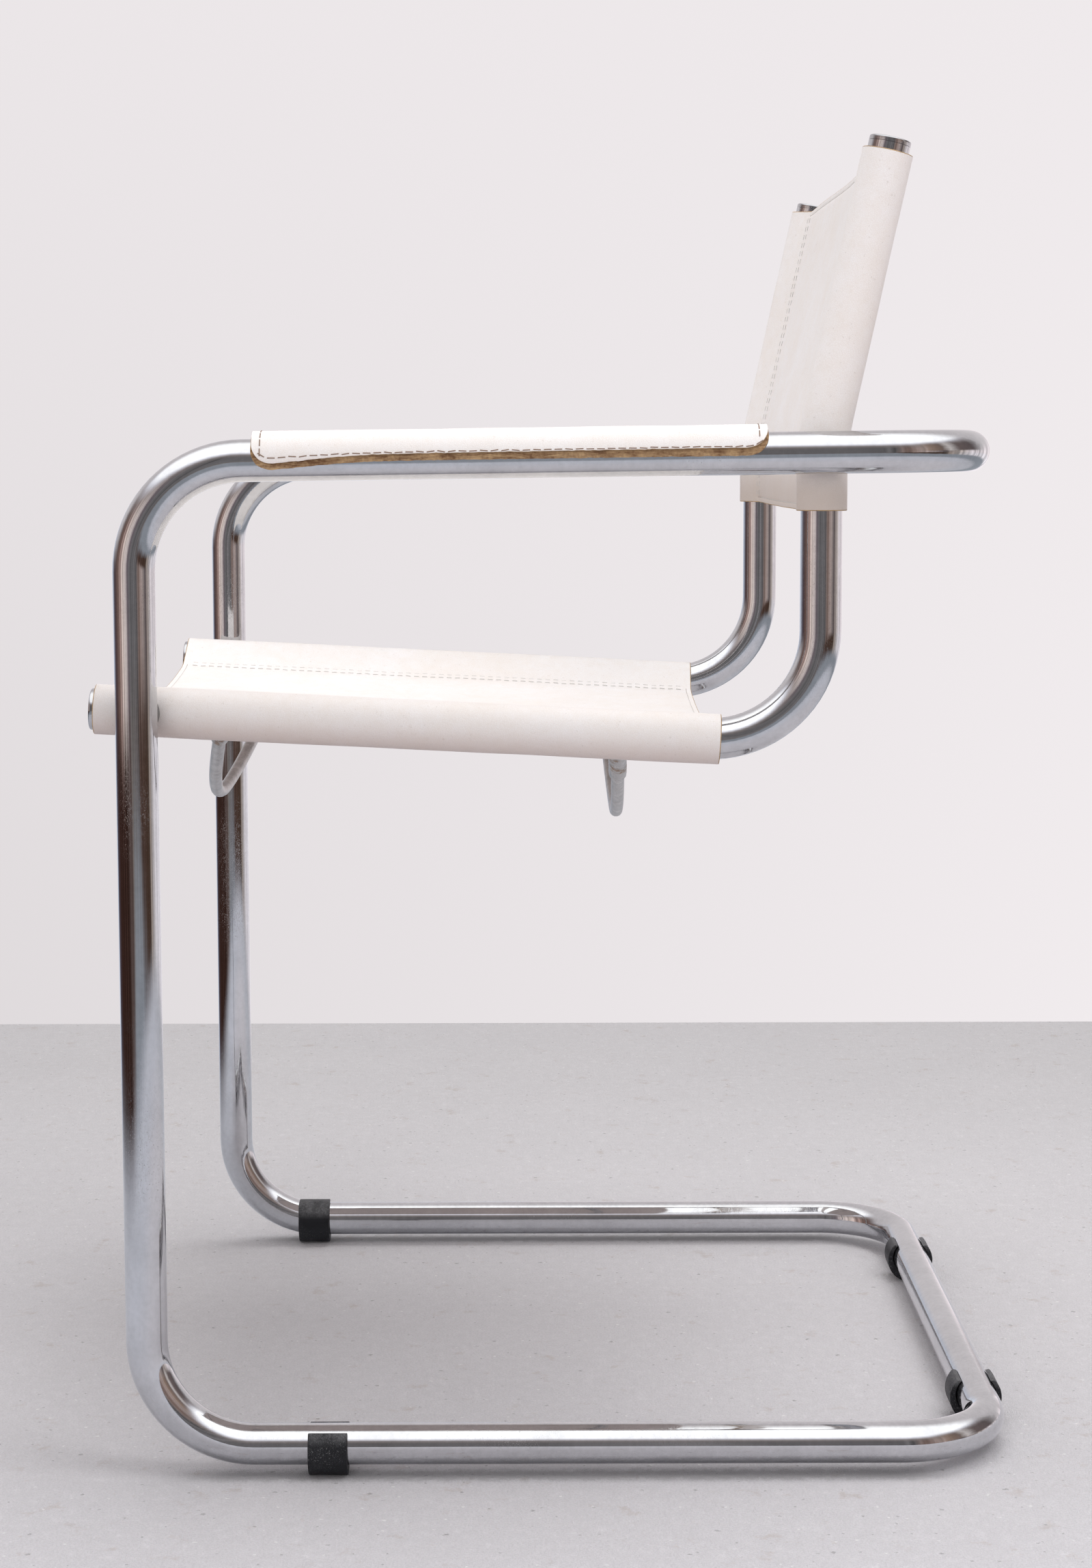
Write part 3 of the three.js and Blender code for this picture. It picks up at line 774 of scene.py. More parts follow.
def stitches(name, runs, length, width, lift, thread):
    """Small tapered stitches along runs of (point, heading, outward) places, joined in one piece."""
    # Rings along a stitch, as shares of its length: points at the ends, full in between
    rings = ((-0.5, 0.0), (-0.44, 1.0), (0.44, 1.0), (0.5, 0.0))
    sides = 5
    points, faces = [], []
    for point, ahead, outward in runs:
        beside = ahead.cross(outward).normalized()
        base = len(points)
        for share, full in rings:
            dip = outward * (lift if full else -0.6 * width)
            middle = point + ahead * (share * length) + dip
            if not full:
                points.append(middle)
                continue
            for k in range(sides):
                angle = 2 * math.pi * k / sides
                flat, high = 0.5 * width * math.cos(angle), 0.4 * width * math.sin(angle)
                points.append(middle + beside * flat + outward * high)
        last = base + 2 * sides + 1
        for k in range(sides):
            n = (k + 1) % sides
            near, beyond = base + 1, base + 1 + sides
            faces.append((base, near + n, near + k))
            faces.append((near + k, near + n, beyond + n, beyond + k))
            faces.append((last, beyond + k, beyond + n))
    piece = new_mesh_object(name, points, faces)
    clean_surface(piece)
    smooth(piece, 60)
    finish_piece(piece, [], [thread])


def spaced(total, pitch, ends):
    """Places along a length, a pitch apart, that leave the ends free."""
    count = max(int((total - 2 * ends) / pitch), 1)
    first = (total - (count - 1) * pitch) / 2
    return [first + i * pitch for i in range(count)]


def walk(spots, first, pitch):
    """Places a pitch apart along a line of spots: the spot before, the point there, and the way ahead."""
    passed, next_at = 0.0, first
    for k, (a, b) in enumerate(zip(spots, spots[1:])):
        step = (b - a).length
        while step > 0 and next_at < passed + step:
            yield k, a.lerp(b, (next_at - passed) / step), (b - a).normalized()
            next_at += pitch
        passed += step


# Slings
def sling_section(seam_drop, middle_drop, power, thickness):
    """The leather's middle line across the chair: from the middle, round the tube, to the end of the lower layer."""
    rise = middle_drop - seam_drop + thickness
    tilt = math.atan2(seam_drop, SEAM_REACH)
    spread = math.asin(LOOP_INNER / math.hypot(SEAM_REACH, seam_drop))
    over, under = QUARTER + tilt + spread, -QUARTER + tilt - spread
    half = thickness / 2
    radius = LOOP_INNER + half

    def top(x):
        return rise * abs(x / SEAM_X) ** power - middle_drop

    def round_tube(angle):
        return Vector((RAIL_X + radius * math.cos(angle), radius * math.sin(angle)))

    seam = Vector((SEAM_X, -seam_drop))
    upper = seam + Vector((math.cos(over), math.sin(over))) * half
    lower = seam + Vector((math.cos(under), math.sin(under))) * (half + LAYER_GAP)
    line = [Vector((SEAM_X * i / 30, top(SEAM_X * i / 30) - half)) for i in range(30)]
    line += [upper.lerp(round_tube(over), i / 8) for i in range(8)]
    line += [round_tube(over + (under - over) * i / 32) for i in range(33)]
    line += [round_tube(under).lerp(lower, i / 8) for i in range(1, 8)]
    for i in range(5):
        x = SEAM_X - 0.002 + (0.002 - SEAM_OVERLAP) * i / 4
        line.append(Vector((x, top(x) - thickness - half - LAYER_GAP)))
    for _ in range(2):
        line = [line[0]] + [(a + b * 2 + c) / 4 for a, b, c in zip(line, line[1:], line[2:])] + [line[-1]]
    return line


def edge_rows(start, end):
    """Places along a sheet, close together near both free edges, where the stitching draws it in."""
    near = [0.0, 0.0006, 0.0014, 0.0024, 0.0031, 0.0038, 0.0045, 0.0053, 0.0066, 0.0085, 0.0115, 0.016]
    length = end - start
    inner = length - 2 * near[-1]
    count = max(int(inner / ROW_STEP), 2)
    middle = [near[-1] + inner * i / count for i in range(1, count)]
    return [start + v for v in near + middle + [length - v for v in reversed(near)]]


def bell(distance, width):
    """1 at no distance, and falling off on both sides."""
    return math.exp(-((distance / width) ** 2))


def arch(x):
    """How far an edge between the seams has arched, from 0 at the seams to 1 in the middle."""
    return max(1 - (x / SEAM_X) ** 2, 0)


def section_outward(line, j):
    """The section's side that faces out, at one of its points."""
    along = (line[min(j + 1, len(line) - 1)] - line[max(j - 1, 0)]).normalized()
    return Vector((-along.y, along.x))


def creased(x, v, along, size, seed):
    """Slow waves of worn leather, and small puckers beside the seams."""
    slow = noise.noise(Vector((x * 9, along * 11, seed))) * size * math.exp(-((abs(x) / RAIL_X) ** 8))
    pucker = noise.noise(Vector((x * 30, along * 170, seed + 4))) * bell(abs(x) - SEAM_X, 0.012) * 0.00035
    return slow + pucker + noise.noise(Vector((x * 60, v * 60, along * 45))) * 0.00012


class SlingSheet:
    """A sling laid along its tubes: a point for each place along the tubes and across the section."""

    def __init__(self, section, start, end, carry, start_edge, end_edge, wander, settings, tone):
        self.start, self.end, self.carry = start, end, carry
        self.start_edge, self.end_edge, self.wander, self.settings = start_edge, end_edge, wander, settings
        self.colour = scaled(settings.white, tone)
        self.line = [Vector((-x, v)) for x, v in reversed(section[1:])] + section
        self.outward = [section_outward(self.line, j) for j in range(len(self.line))]

    def from_middle(self, j):
        return abs(j - (len(self.line) - 1) // 2)

    def along_at(self, along, x):
        """Moves a place along the tubes, so that the free edges arch as the leather does."""
        share = (along - self.start) / (self.end - self.start)
        return along + self.start_edge(x) * (1 - share) + self.end_edge(x) * share

    def point(self, along, j, lift=0.0):
        spot, side = self.line[j], self.outward[j]
        inset = self.settings.edge_inset
        flat = bell(max(abs(spot.x) - SEAM_X, 0), 0.004)
        edges = (along - self.start, self.end - along)
        pull = flat * sum(bell(distance - inset, CREASE_WIDTH) for distance in edges)
        out = lift + self.wander(spot.x, spot.y, along) - self.settings.crease * pull
        return self.carry(self.along_at(along, spot.x), spot.x + side.x * out, spot.y + side.y * out)

    def seam_places(self):
        """Stitch places in two rows along the tubes, one on each side of the seam, on both sides of the chair."""
        half = self.settings.thickness / 2
        found = []
        for sign in (-1, 1):
            for distance in (-self.settings.seam_row, self.settings.seam_row):
                x = sign * (SEAM_X - distance)
                j = min(
                    range(len(self.line)),
                    key=lambda k: abs(self.line[k].x - x) + (self.from_middle(k) > TOP_REACH),
                )
                for place_at in spaced(self.end - self.start, self.settings.stitch_pitch, SEAM_END):
                    along = self.start + place_at
                    here = self.point(along, j)
                    ahead = (self.point(along + 0.002, j) - here).normalized()
                    out = (self.point(along, j, half) - here).normalized()
                    found.append((here + out * half + AXIS_X * (x - self.line[j].x), ahead, out))
        return found

    def edge_places(self):
        """Stitch places across the chair, inside both free edges."""
        half, inset, pitch = self.settings.thickness / 2, self.settings.edge_inset, self.settings.stitch_pitch
        chain = [j for j in range(len(self.line)) if self.from_middle(j) <= EDGE_STITCH_REACH]
        found = []
        for along in (self.start + inset, self.end - inset):
            spots = [self.point(along, j, half) for j in chain]
            for k, spot, ahead in walk(spots, pitch / 2, pitch):
                found.append((spot, ahead, (spots[k] - self.point(along, chain[k])).normalized()))
        return found

    def make_pieces(self, word):
        """The sling, and its stitches as a piece of their own."""
        leather = self.settings
        name = f"{word}_sling_leather"
        rows = [[self.point(along, j) for j in range(len(self.line))] for along in edge_rows(self.start, self.end)]
        piece = sheet_object(name, rows)
        corner = max((loop.uv for loop in piece.data.uv_layers[0].data), key=lambda uv: uv.x + uv.y)
        white = leather_material(f"{name}_white", self.colour, (*corner, leather.edge_inset))
        materials = [white, raw_edge_material(leather)]
        thicken_sheet(piece, materials, leather.thickness, SLING_ROUNDING, 3)
        finish_piece(piece, [f"{word}_sling"], materials)
        runs = self.seam_places() + self.edge_places()
        thread = thread_material("pale_thread", leather.thread)
        stitches(f"{word}_stitches", runs, leather.stitch_length, STITCH_WIDTH, STITCH_LIFT, thread)
        return piece


# Operators
class CHAIR_OT_stage(bpy.types.Operator):
    """Adds the floor, the light and the camera"""

    bl_idname = "chair.stage"
    bl_label = "Stage"

    def execute(self, context):
        stage = context.scene.chair_stage
        self.floor(stage)
        self.world(context.scene, stage)
        self.lights(stage)
        self.camera(context.scene, stage)
        return {"FINISHED"}

    def floor(self, stage):
        clear_selection()
        bpy.ops.mesh.primitive_plane_add(size=FLOOR_SIZE, location=(FLOOR_SIZE / 2 - stage.wall_distance, 0, 0))
        floor = new_primitive("floor")
        floor.data.materials.append(self.floor_material(stage.floor))

    def floor_material(self, colour):
        """Pale ground with sand, stains, crumbs and scratches, painted light that grows toward the viewer, and dust
        with a painted shadow under the runners.
        """
        material, tree, shader, where = new_material("floor")
        at = split(tree, where)
        grain = mottle(tree, where, 120.0, 1.6)
        tint = shades(tree, mottle(tree, where, 5.0, 0.7), colour, 0.965, 1.035)
        tint = stained(tree, tint, grain, 0.26, scaled(colour, 0.76))
        sand = texture_noise(tree, where, 620.0, 3.0, roughness=0.7)
        tint = stained(tree, tint, ramp(tree, sand, [(0.40, 1.0), (0.56, 0.0)]), 0.24, scaled(colour, 0.62))
        spots = ramp(tree, texture_noise(tree, where, 38.0, 4.0, roughness=0.7), [(0.60, 0.0), (0.70, 1.0)])
        tint = stained(tree, tint, spots, 0.35, (0.52, 0.44, 0.40))
        # Scattered crumbs, one in some of the cells, and faint scratches
        ragged = warped(tree, where, 420.0, 0.004)
        for scale, radius, part, tone in FLOOR_CRUMBS:
            inputs = {"Vector": ragged, "Scale": scale, "Randomness": 1.0}
            cells = put(tree, "ShaderNodeTexVoronoi", {"voronoi_dimensions": "2D"}, inputs).outputs
            chosen = maths(tree, "LESS_THAN", split(tree, cells["Color"])["X"], part)
            crumb = times(tree, between(tree, cells["Distance"], radius, radius * 0.4), chosen)
            tint = stained(tree, tint, crumb, 0.55, scaled(colour, tone))
        tint = blend_colours(tree, scuffs(tree, where, 4.0, 0.22)["Mask"], tint, scaled(colour, 0.82))
        # Painted light: the floor grows paler and cooler toward the viewer
        tint = tinted(tree, tint, ramp(tree, times_plus(tree, at["X"], 0.5, 0.5), [
            (0.05, (0.820, 0.820, 0.816)), (0.50, (0.930, 0.930, 0.935)), (0.73, (0.955, 0.960, 0.975)),
        ]))
        # Dust and a painted close shadow gather under the two runners
        aside = times_plus(tree, grain, 0.006, apart(tree, size_of(tree, at["X"]), RUNNER_DUST_AND_SHADOW_X))
        dust_and_shadow = times(tree, between(tree, aside, 0.018, 0.006), between(tree, size_of(tree, at["Y"]), 0.25, 0.20))
        tint = stained(tree, tint, dust_and_shadow, 0.5, scaled(colour, 0.25))
        # Polished metal sees a cooler floor, and only near the chair; the room shows beyond it
        mirrored = put(tree, "ShaderNodeLightPath").outputs["Is Glossy Ray"]
        centred = mapped(tree, where, location=(-0.25, -0.3, 0))
        away = put(tree, "ShaderNodeVectorMath", {"operation": "LENGTH"}, {0: centred}).outputs["Value"]
        cooler = blend_colours(tree, between(tree, away, 0.35, 0.95), (1.08, 1.08, 1.10), (1.03, 1.08, 1.14))
        tint = blend_colours(tree, mirrored, tint, tinted(tree, tint, cooler))
        feed(tree, shader, {"Base Color": tint, "Roughness": 0.9, "Specular IOR Level": 0.2})
        bump(tree, shader, times_plus(tree, sand, 0.7, grain), 0.0008, 0.8)
        clear = put(tree, "ShaderNodeBsdfTransparent").outputs["BSDF"]
        hidden = times(tree, between(tree, away, 1.0, 1.55), mirrored)
        surface = mix_shaders(tree, hidden, shader.outputs["BSDF"], clear)
        feed(tree, tree.nodes["Material Output"], {"Surface": surface})
        return material

    def world(self, scene, stage):
        """A pale wall for the camera, a painted room for polished metal, and an even light for the rest."""
        world = scene.world or bpy.data.worlds.new("room")
        scene.world = world
        world.use_nodes = True
        tree = world.node_tree
        tree.nodes.clear()
        toward = put(tree, "ShaderNodeTexCoord").outputs["Generated"]
        parts = split(tree, toward)
        # Painted light: the wall is a little brighter upward and to one side
        tilt = times(tree, times(tree, parts["Y"], parts["Z"]), -0.95)
        level = times_plus(tree, parts["Y"], 0.246, maths(tree, "ADD", tilt, 0.969))
        wall = tinted(tree, stage.wall, grey(tree, times_plus(tree, parts["Z"], 0.133, level)))
        plain, polished, backdrop = (
            put(tree, "ShaderNodeBackground", None, {"Color": colour, "Strength": strength}).outputs[0]
            for colour, strength in ((FILL_COLOUR, stage.fill), (self.room(tree, toward, parts), 1.0), (wall, 1.0))
        )
        rays = put(tree, "ShaderNodeLightPath").outputs
        shader = mix_shaders(tree, rays["Is Glossy Ray"], plain, polished)
        shader = mix_shaders(tree, rays["Is Camera Ray"], shader, backdrop)
        put(tree, "ShaderNodeOutputWorld", None, {"Surface": shader})

    def room(self, tree, toward, parts):
        """A dim room with bright lamps above: dark and pale things all round, at their turns from 0 to 1."""
        turn = times_plus(tree, maths(tree, "ARCTAN2", parts["Y"], parts["X"]), 0.5 / math.pi, 0.5)
        inputs = {"W": turn, "Scale": 48.0, "Detail": 6.0, "Roughness": 0.62}
        shimmer = put(tree, "ShaderNodeTexNoise", {"noise_dimensions": "1D"}, inputs).outputs["Fac"]
        wobble = maths(tree, "SUBTRACT", texture_noise(tree, toward, 9.0, 4.0), 0.5)
        shifted = times_plus(tree, wobble, 0.02, turn)
        height = times_plus(tree, wobble, 0.05, parts["Z"])
        level = ramp(tree, shifted, [
            (0.0, (0.72, 0.78, 0.90)), (0.10, (0.60, 0.64, 0.76)), (0.15, (0.09, 0.07, 0.09)),
            (0.20, (0.13, 0.08, 0.075)), (0.25, (0.26, 0.165, 0.14)), (0.30, (0.57, 0.40, 0.36)),
            (0.335, (1.0, 0.84, 0.77)), (0.385, (0.90, 0.78, 0.75)), (0.415, (0.22, 0.18, 0.20)),
            (0.45, (0.20, 0.19, 0.195)), (0.55, (0.195, 0.185, 0.19)),
            (0.585, (0.29, 0.20, 0.17)), (0.64, (0.56, 0.45, 0.42)), (0.665, (0.42, 0.35, 0.33)),
            (0.685, (0.19, 0.155, 0.16)), (0.72, (0.35, 0.29, 0.27)), (0.76, (0.75, 0.66, 0.62)),
            (0.80, (1.0, 0.91, 0.94)),
        ])
        lower = ramp(tree, shifted, [
            (0.0, (0.72, 0.78, 0.90)), (0.095, (0.60, 0.66, 0.80)), (0.125, (0.10, 0.08, 0.10)),
            (0.20, (0.055, 0.026, 0.02)), (0.365, (0.055, 0.028, 0.022)),
            (0.385, (0.125, 0.086, 0.077)), (0.43, (0.13, 0.09, 0.08)),
            (0.445, (0.235, 0.205, 0.19)), (0.49, (0.235, 0.205, 0.19)),
            (0.505, (0.175, 0.15, 0.145)), (0.545, (0.17, 0.14, 0.135)),
            (0.57, (0.10, 0.06, 0.048)), (0.69, (0.085, 0.05, 0.035)), (0.72, (0.40, 0.33, 0.29)),
            (0.76, (0.65, 0.60, 0.60)), (0.82, (1.0, 0.95, 1.0)),
        ])
        upper = ramp(tree, height, [
            (0.25, (0.11, 0.09, 0.085)), (0.47, (0.20, 0.175, 0.17)), (0.56, (0.38, 0.36, 0.38)),
            (0.62, (0.58, 0.58, 0.62)), (0.70, (0.88, 0.88, 0.90)), (0.97, (0.92, 0.92, 0.92)),
        ])
        horizon = ramp(tree, shifted, [
            (0.0, 0.20), (0.36, 0.25), (0.42, 0.20), (0.465, 0.115), (0.53, 0.115), (0.58, 0.15), (0.70, 0.20),
        ])
        seen = blend_colours(tree, between(tree, height, -0.06, -0.105), level, lower)
        seen = tinted(tree, seen, grey(tree, times_plus(tree, shimmer, 2.2, -0.1)))
        floor_line = between(tree, maths(tree, "ADD", height, horizon), 0.03, -0.06)
        seen = blend_colours(tree, floor_line, seen, (0.36, 0.385, 0.43))
        lamps = tinted(tree, upper, (2.0, 2.0, 2.0))
        seen = blend_colours(tree, between(tree, height, 0.20, 0.64), seen, lamps)
        behind = between(tree, parts["X"], -0.10, -0.60)
        seen = stained(tree, seen, behind, between(tree, height, -0.05, 0.25), (0.80, 0.755, 0.77))
        # Dark brown things and a lamp to the right of the camera, which show in the rear bends
        corner = ramp(tree, shifted, [
            (0.60, (0.42, 0.36, 0.33)), (0.645, (0.40, 0.27, 0.20)), (0.69, (0.24, 0.18, 0.16)),
            (0.715, (0.80, 0.74, 0.72)), (0.75, (0.20, 0.155, 0.15)), (0.81, (0.16, 0.13, 0.13)),
            (0.86, (0.60, 0.57, 0.58)),
        ])
        window = times(tree, between(tree, shifted, 0.60, 0.68), between(tree, shifted, 0.89, 0.83))
        tall = times(tree, between(tree, height, -0.02, 0.10), between(tree, height, 0.75, 0.40))
        return stained(tree, seen, window, tall, corner)

    def lights(self, stage):
        """Round soft lights, which polished metal doesn't show."""
        for name, place_at, aim, size, power in (
            ("key_light", (0.95, 1.15, 2.3), (0, -0.05, 0.3), 1.1, stage.key_power),
            ("top_light", (-0.42, 0.2, 3.0), (-0.1, 0, 0.2), 1.9, stage.top_power),
            ("side_light", (3.2, -0.9, 1.25), (0.1, 0, 0.5), 2.0, stage.side_power),
        ):
            clear_selection()
            turn = (Vector(aim) - Vector(place_at)).to_track_quat("-Z", "Y").to_euler()
            bpy.ops.object.light_add(type="AREA", location=place_at, rotation=turn)
            lamp = bpy.context.object
            lamp.name = name
            lamp.data.shape = "DISK"
            lamp.data.size = size
            lamp.data.energy = power
            lamp.data.color = LAMP_COLOUR
            lamp.visible_glossy = False

    def camera(self, scene, stage):
        """The photograph's viewpoint, found by fitting the tubes' lines."""
        clear_selection()
        bpy.ops.object.camera_add(location=CAMERA_PLACE)
        camera = bpy.context.object
        camera.name = "camera"
        yaw, pitch, roll = CAMERA_TURN
        ahead = Vector((-math.cos(yaw) * math.cos(pitch), math.sin(yaw) * math.cos(pitch), math.sin(pitch)))
        right = ahead.cross(AXIS_Z).normalized()
        up = right.cross(ahead)
        across = right * math.cos(roll) + up * math.sin(roll)
        upward = up * math.cos(roll) - right * math.sin(roll)
        camera.rotation_euler = Matrix((across, upward, -ahead)).transposed().to_euler()
        camera.data.lens = stage.lens
        camera.data.sensor_width = SENSOR_WIDTH
        camera.data.clip_start = 0.01
        scene.camera = camera
        scene.view_settings.view_transform = "Standard"


class CHAIR_OT_outer_frame(bpy.types.Operator):
    """Models the two halves of the outer frame"""

    bl_idname = "chair.outer_frame"
    bl_label = "Outer Frame"

    def execute(self, context):
        tube = context.scene.chair_tubes
        steps = tube.bend_steps
        arm_start = LEG_BEND * (1 - math.sin(ARM_RISE))
        cross_run = LEG_X - REAR_BEND - JOIN_GAP / 2
        leg_top = arm_height(arm_start) - LEG_BEND * math.cos(ARM_RISE)
        route = [
            (cross_run,),
            (REAR_BEND, QUARTER, -AXIS_Z, steps),
            (BASE_DEPTH - REAR_BEND - LEG_BEND,),
            (LEG_BEND, QUARTER, -AXIS_X, steps),
            (leg_top - LEG_BEND,),
            (LEG_BEND, QUARTER - ARM_RISE, -AXIS_X, steps),
            ((ARM_DEPTH - arm_start) / math.cos(ARM_RISE) - REAR_BEND,),
            (REAR_BEND, QUARTER, AXIS_X.cross(ARM_AHEAD), steps),
            (cross_run,),
        ]
        left = bent_tube("outer_frame_left", place(JOIN_GAP / 2, BASE_DEPTH, 0), AXIS_X, route, tube.sides)
        for piece, side in both_sides(left):
            finish_tube(piece, f"frame_{side}", tube)
        return {"FINISHED"}


class CHAIR_OT_seat_tubes(bpy.types.Operator):
    """Models the two tubes that carry the seat and the back"""

    bl_idname = "chair.seat_tubes"
    bl_label = "Seat Tubes"

    def execute(self, context):
        tube = context.scene.chair_tubes
        bend_start = POST_DEPTH - SEAT_BEND * (1 + math.sin(RAIL_FALL))
        rail = (bend_start + RAIL_OVERHANG) / math.cos(RAIL_FALL)
        bend_end = rail_height(-RAIL_OVERHANG) - rail * math.sin(RAIL_FALL) + SEAT_BEND * math.cos(RAIL_FALL)
        route = [
            (rail,),
            (SEAT_BEND, QUARTER + RAIL_FALL, AXIS_X, tube.bend_steps),
            (LEAN_START - bend_end,),
            (POST_BEND, POST_LEAN, -AXIS_X, max(tube.bend_steps // 3, 4)),
            ((POST_TOP - LEAN_END) / math.cos(POST_LEAN),),
        ]
        left = bent_tube("rail_and_post_left", rail_front(), RAIL_AHEAD, route, tube.sides)
        top_ring = POST_TOP + HEIGHT_SHIFT - 0.004
        for piece, side in both_sides(left):
            slide(piece, lambda point: point.z > top_ring, POST_AHEAD * POST_SLIPS[side])
            finish_tube(piece, f"seat_tube_{side}", tube)
        return {"FINISHED"}


class CHAIR_OT_end_caps(bpy.types.Operator):
    """Models the caps on the rails' front ends and on the posts' tops"""

    bl_idname = "chair.end_caps"
    bl_label = "End Caps"

    head = 0.003
    plug = 0.013
    dome_rings = (0.0022, 0.0026, 0.0028)
    dome_step = 0.00018

    def execute(self, context):
        tube = context.scene.chair_tubes
        chrome = chrome_material("cap_chrome", scaled(tube.chrome, 0.88), 0.08)
        forward = Vector((0, -math.cos(RAIL_FALL), math.sin(RAIL_FALL)))
        top_depth = POST_DEPTH + POST_BEND * (1 - math.cos(POST_LEAN)) + (POST_TOP - LEAN_END) * math.tan(POST_LEAN)
        top = place(RAIL_X, top_depth, POST_TOP)
        for word, end, ahead in (("rail_cap", rail_front(), forward), ("post_cap", top, POST_AHEAD)):
            for piece, side in both_sides(self.cap(f"{word}_head_left", end, ahead, tube)):
                if word == "post_cap":
                    slide(piece, lambda point: True, ahead * POST_SLIPS[side])
                smooth(piece, 35)
                finish_piece(piece, [f"{word}_{side}"], [chrome])
        return {"FINISHED"}

    def cap(self, name, end, ahead, tube):
        """A disc with a rounded rim and a low dome, and the plug behind it."""
        middle = end + ahead * (FIT_GAP + self.head / 2)
        piece = new_cylinder(name, 64, TUBE_RADIUS, self.head, middle, facing(ahead))
        edit(piece)
        select_where(piece, "FACE", lambda normal: normal.dot(ahead) > 0.9)
        bpy.ops.mesh.bevel(offset=tube.cap_rounding, segments=5, affect="EDGES")
        select_where(piece, "FACE", lambda normal: normal.dot(ahead) > 0.999)
        for width in self.dome_rings:
            bpy.ops.mesh.inset(thickness=width, depth=self.dome_step)
        select_where(piece, "FACE", lambda normal: normal.dot(ahead) < -0.9)
        bpy.ops.mesh.inset(thickness=tube.wall + FIT_GAP)
        bpy.ops.mesh.extrude_region_move(TRANSFORM_OT_translate={"value": ahead * -self.plug})
        stop_editing()
        clean_surface(piece)
        return piece


class CHAIR_OT_fasteners(bpy.types.Operator):
    """Models the spacers, and finishes the bolts, nuts and inner sleeves"""

    bl_idname = "chair.fasteners"
    bl_label = "Fasteners"

    def execute(self, context):
        fittings = context.scene.chair_fittings
        steel = steel_material("plain_steel", fittings.steel, 0.35)
        dull = steel_material("spacer_steel", scaled(fittings.steel, 0.3), 0.15)
        for word, depth, height, outer, inner in (
            ("front", 0.0, rail_height(0.0), AXIS_Z, RAIL_AHEAD),
            ("rear", POST_DEPTH + 0.0004, arm_height(POST_DEPTH), ARM_AHEAD, AXIS_Z),
        ):
            left = self.spacer(f"{word}_spacer_round_left", depth, height, outer, inner, fittings.spacer)
            for piece, side in both_sides(left):
                smooth(piece, 35)
                finish_piece(piece, [f"{word}_spacer_{side}"], [dull])
        kept = [f"{end}_{kind}_{side}" for end in ENDS for kind in ("bolt", "nut") for side in SIDES]
        for node in kept + ["base_join_sleeve", "arm_join_sleeve"]:
            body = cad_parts[node]
            body.data.materials.clear()
            body.data.materials.append(steel)
        return {"FINISHED"}

    def spacer(self, name, depth, height, outer_heading, inner_heading, diameter):
        """A round bar between two tubes, hollowed at its ends to sit on them and on the leather round the rail."""
        middle = place((LEG_X + RAIL_X) / 2, depth, height)
        piece = new_cylinder(name, 64, diameter / 2, LEG_X - RAIL_X, middle, (0, QUARTER, 0))
        for x, heading, radius in (
            (LEG_X, outer_heading, TUBE_RADIUS),
            (RAIL_X, inner_heading, LEATHER_RADIUS),
        ):
            cutter = new_cylinder("cutter", 96, radius + FIT_GAP, 0.1, place(x, depth, height), facing(heading))
            add_modifier(piece, "BOOLEAN", operation="DIFFERENCE", object=cutter, solver="EXACT")
            bpy.data.objects.remove(cutter)
        clean_surface(piece)
        return piece


class CHAIR_OT_stretchers(bpy.types.Operator):
    """Models the two bowed stretchers under the seat, and the sockets on their ends"""

    bl_idname = "chair.stretchers"
    bl_label = "Stretchers"

    # A socket's rounded end: distances from it, and the share of its radius there
    rounding = ((0.0, 0.70), (0.0002, 0.80), (0.0008, 0.89), (0.0018, 0.955), (0.003, 0.99), (0.0045, 1.0))
    rod_steps = 96
    socket_steps = 12

    def execute(self, context):
        fittings = context.scene.chair_fittings
        rod_steel = steel_material("rod_steel", scaled(fittings.steel, 1.02), 0.12)
        socket_steel = steel_material("socket_steel", fittings.steel, 1.0)
        reach = RAIL_X - TUBE_RADIUS + 0.002
        for word, form in STRETCHERS.items():
            points = [self.point(form, -reach + 2 * reach * i / self.rod_steps) for i in range(self.rod_steps + 1)]
            rod = swept_rod(f"{word}_stretcher_rod", points, fittings.rod / 2)
            smooth(rod, 35)
            finish_piece(rod, [f"{word}_stretcher"], [rod_steel])
            inner = RAIL_X - form["socket"]
            rounded = self.rounding[-1][0]
            run = reach - inner - rounded
            straight = [inner + rounded + run * i / self.socket_steps for i in range(1, self.socket_steps + 1)]
            points = [self.point(form, x) for x in [inner + v for v, _ in self.rounding] + straight]
            shares = [share for _, share in self.rounding] + [1.0] * self.socket_steps
            left = swept_rod(f"{word}_socket_sleeve_left", points, fittings.socket / 2, shares)
            for piece, side in both_sides(left):
                smooth(piece, 35)
                finish_piece(piece, [f"{word}_socket_{side}"], [socket_steel])
        return {"FINISHED"}

    def point(self, form, x):
        rise = abs(x / STRETCHER_REACH) ** form["bow"] - 1
        height = rail_height(form["depth"]) - form["drop"] + form["sag"] * rise
        return place(x, form["depth"] + form["forward"] * rise, height)


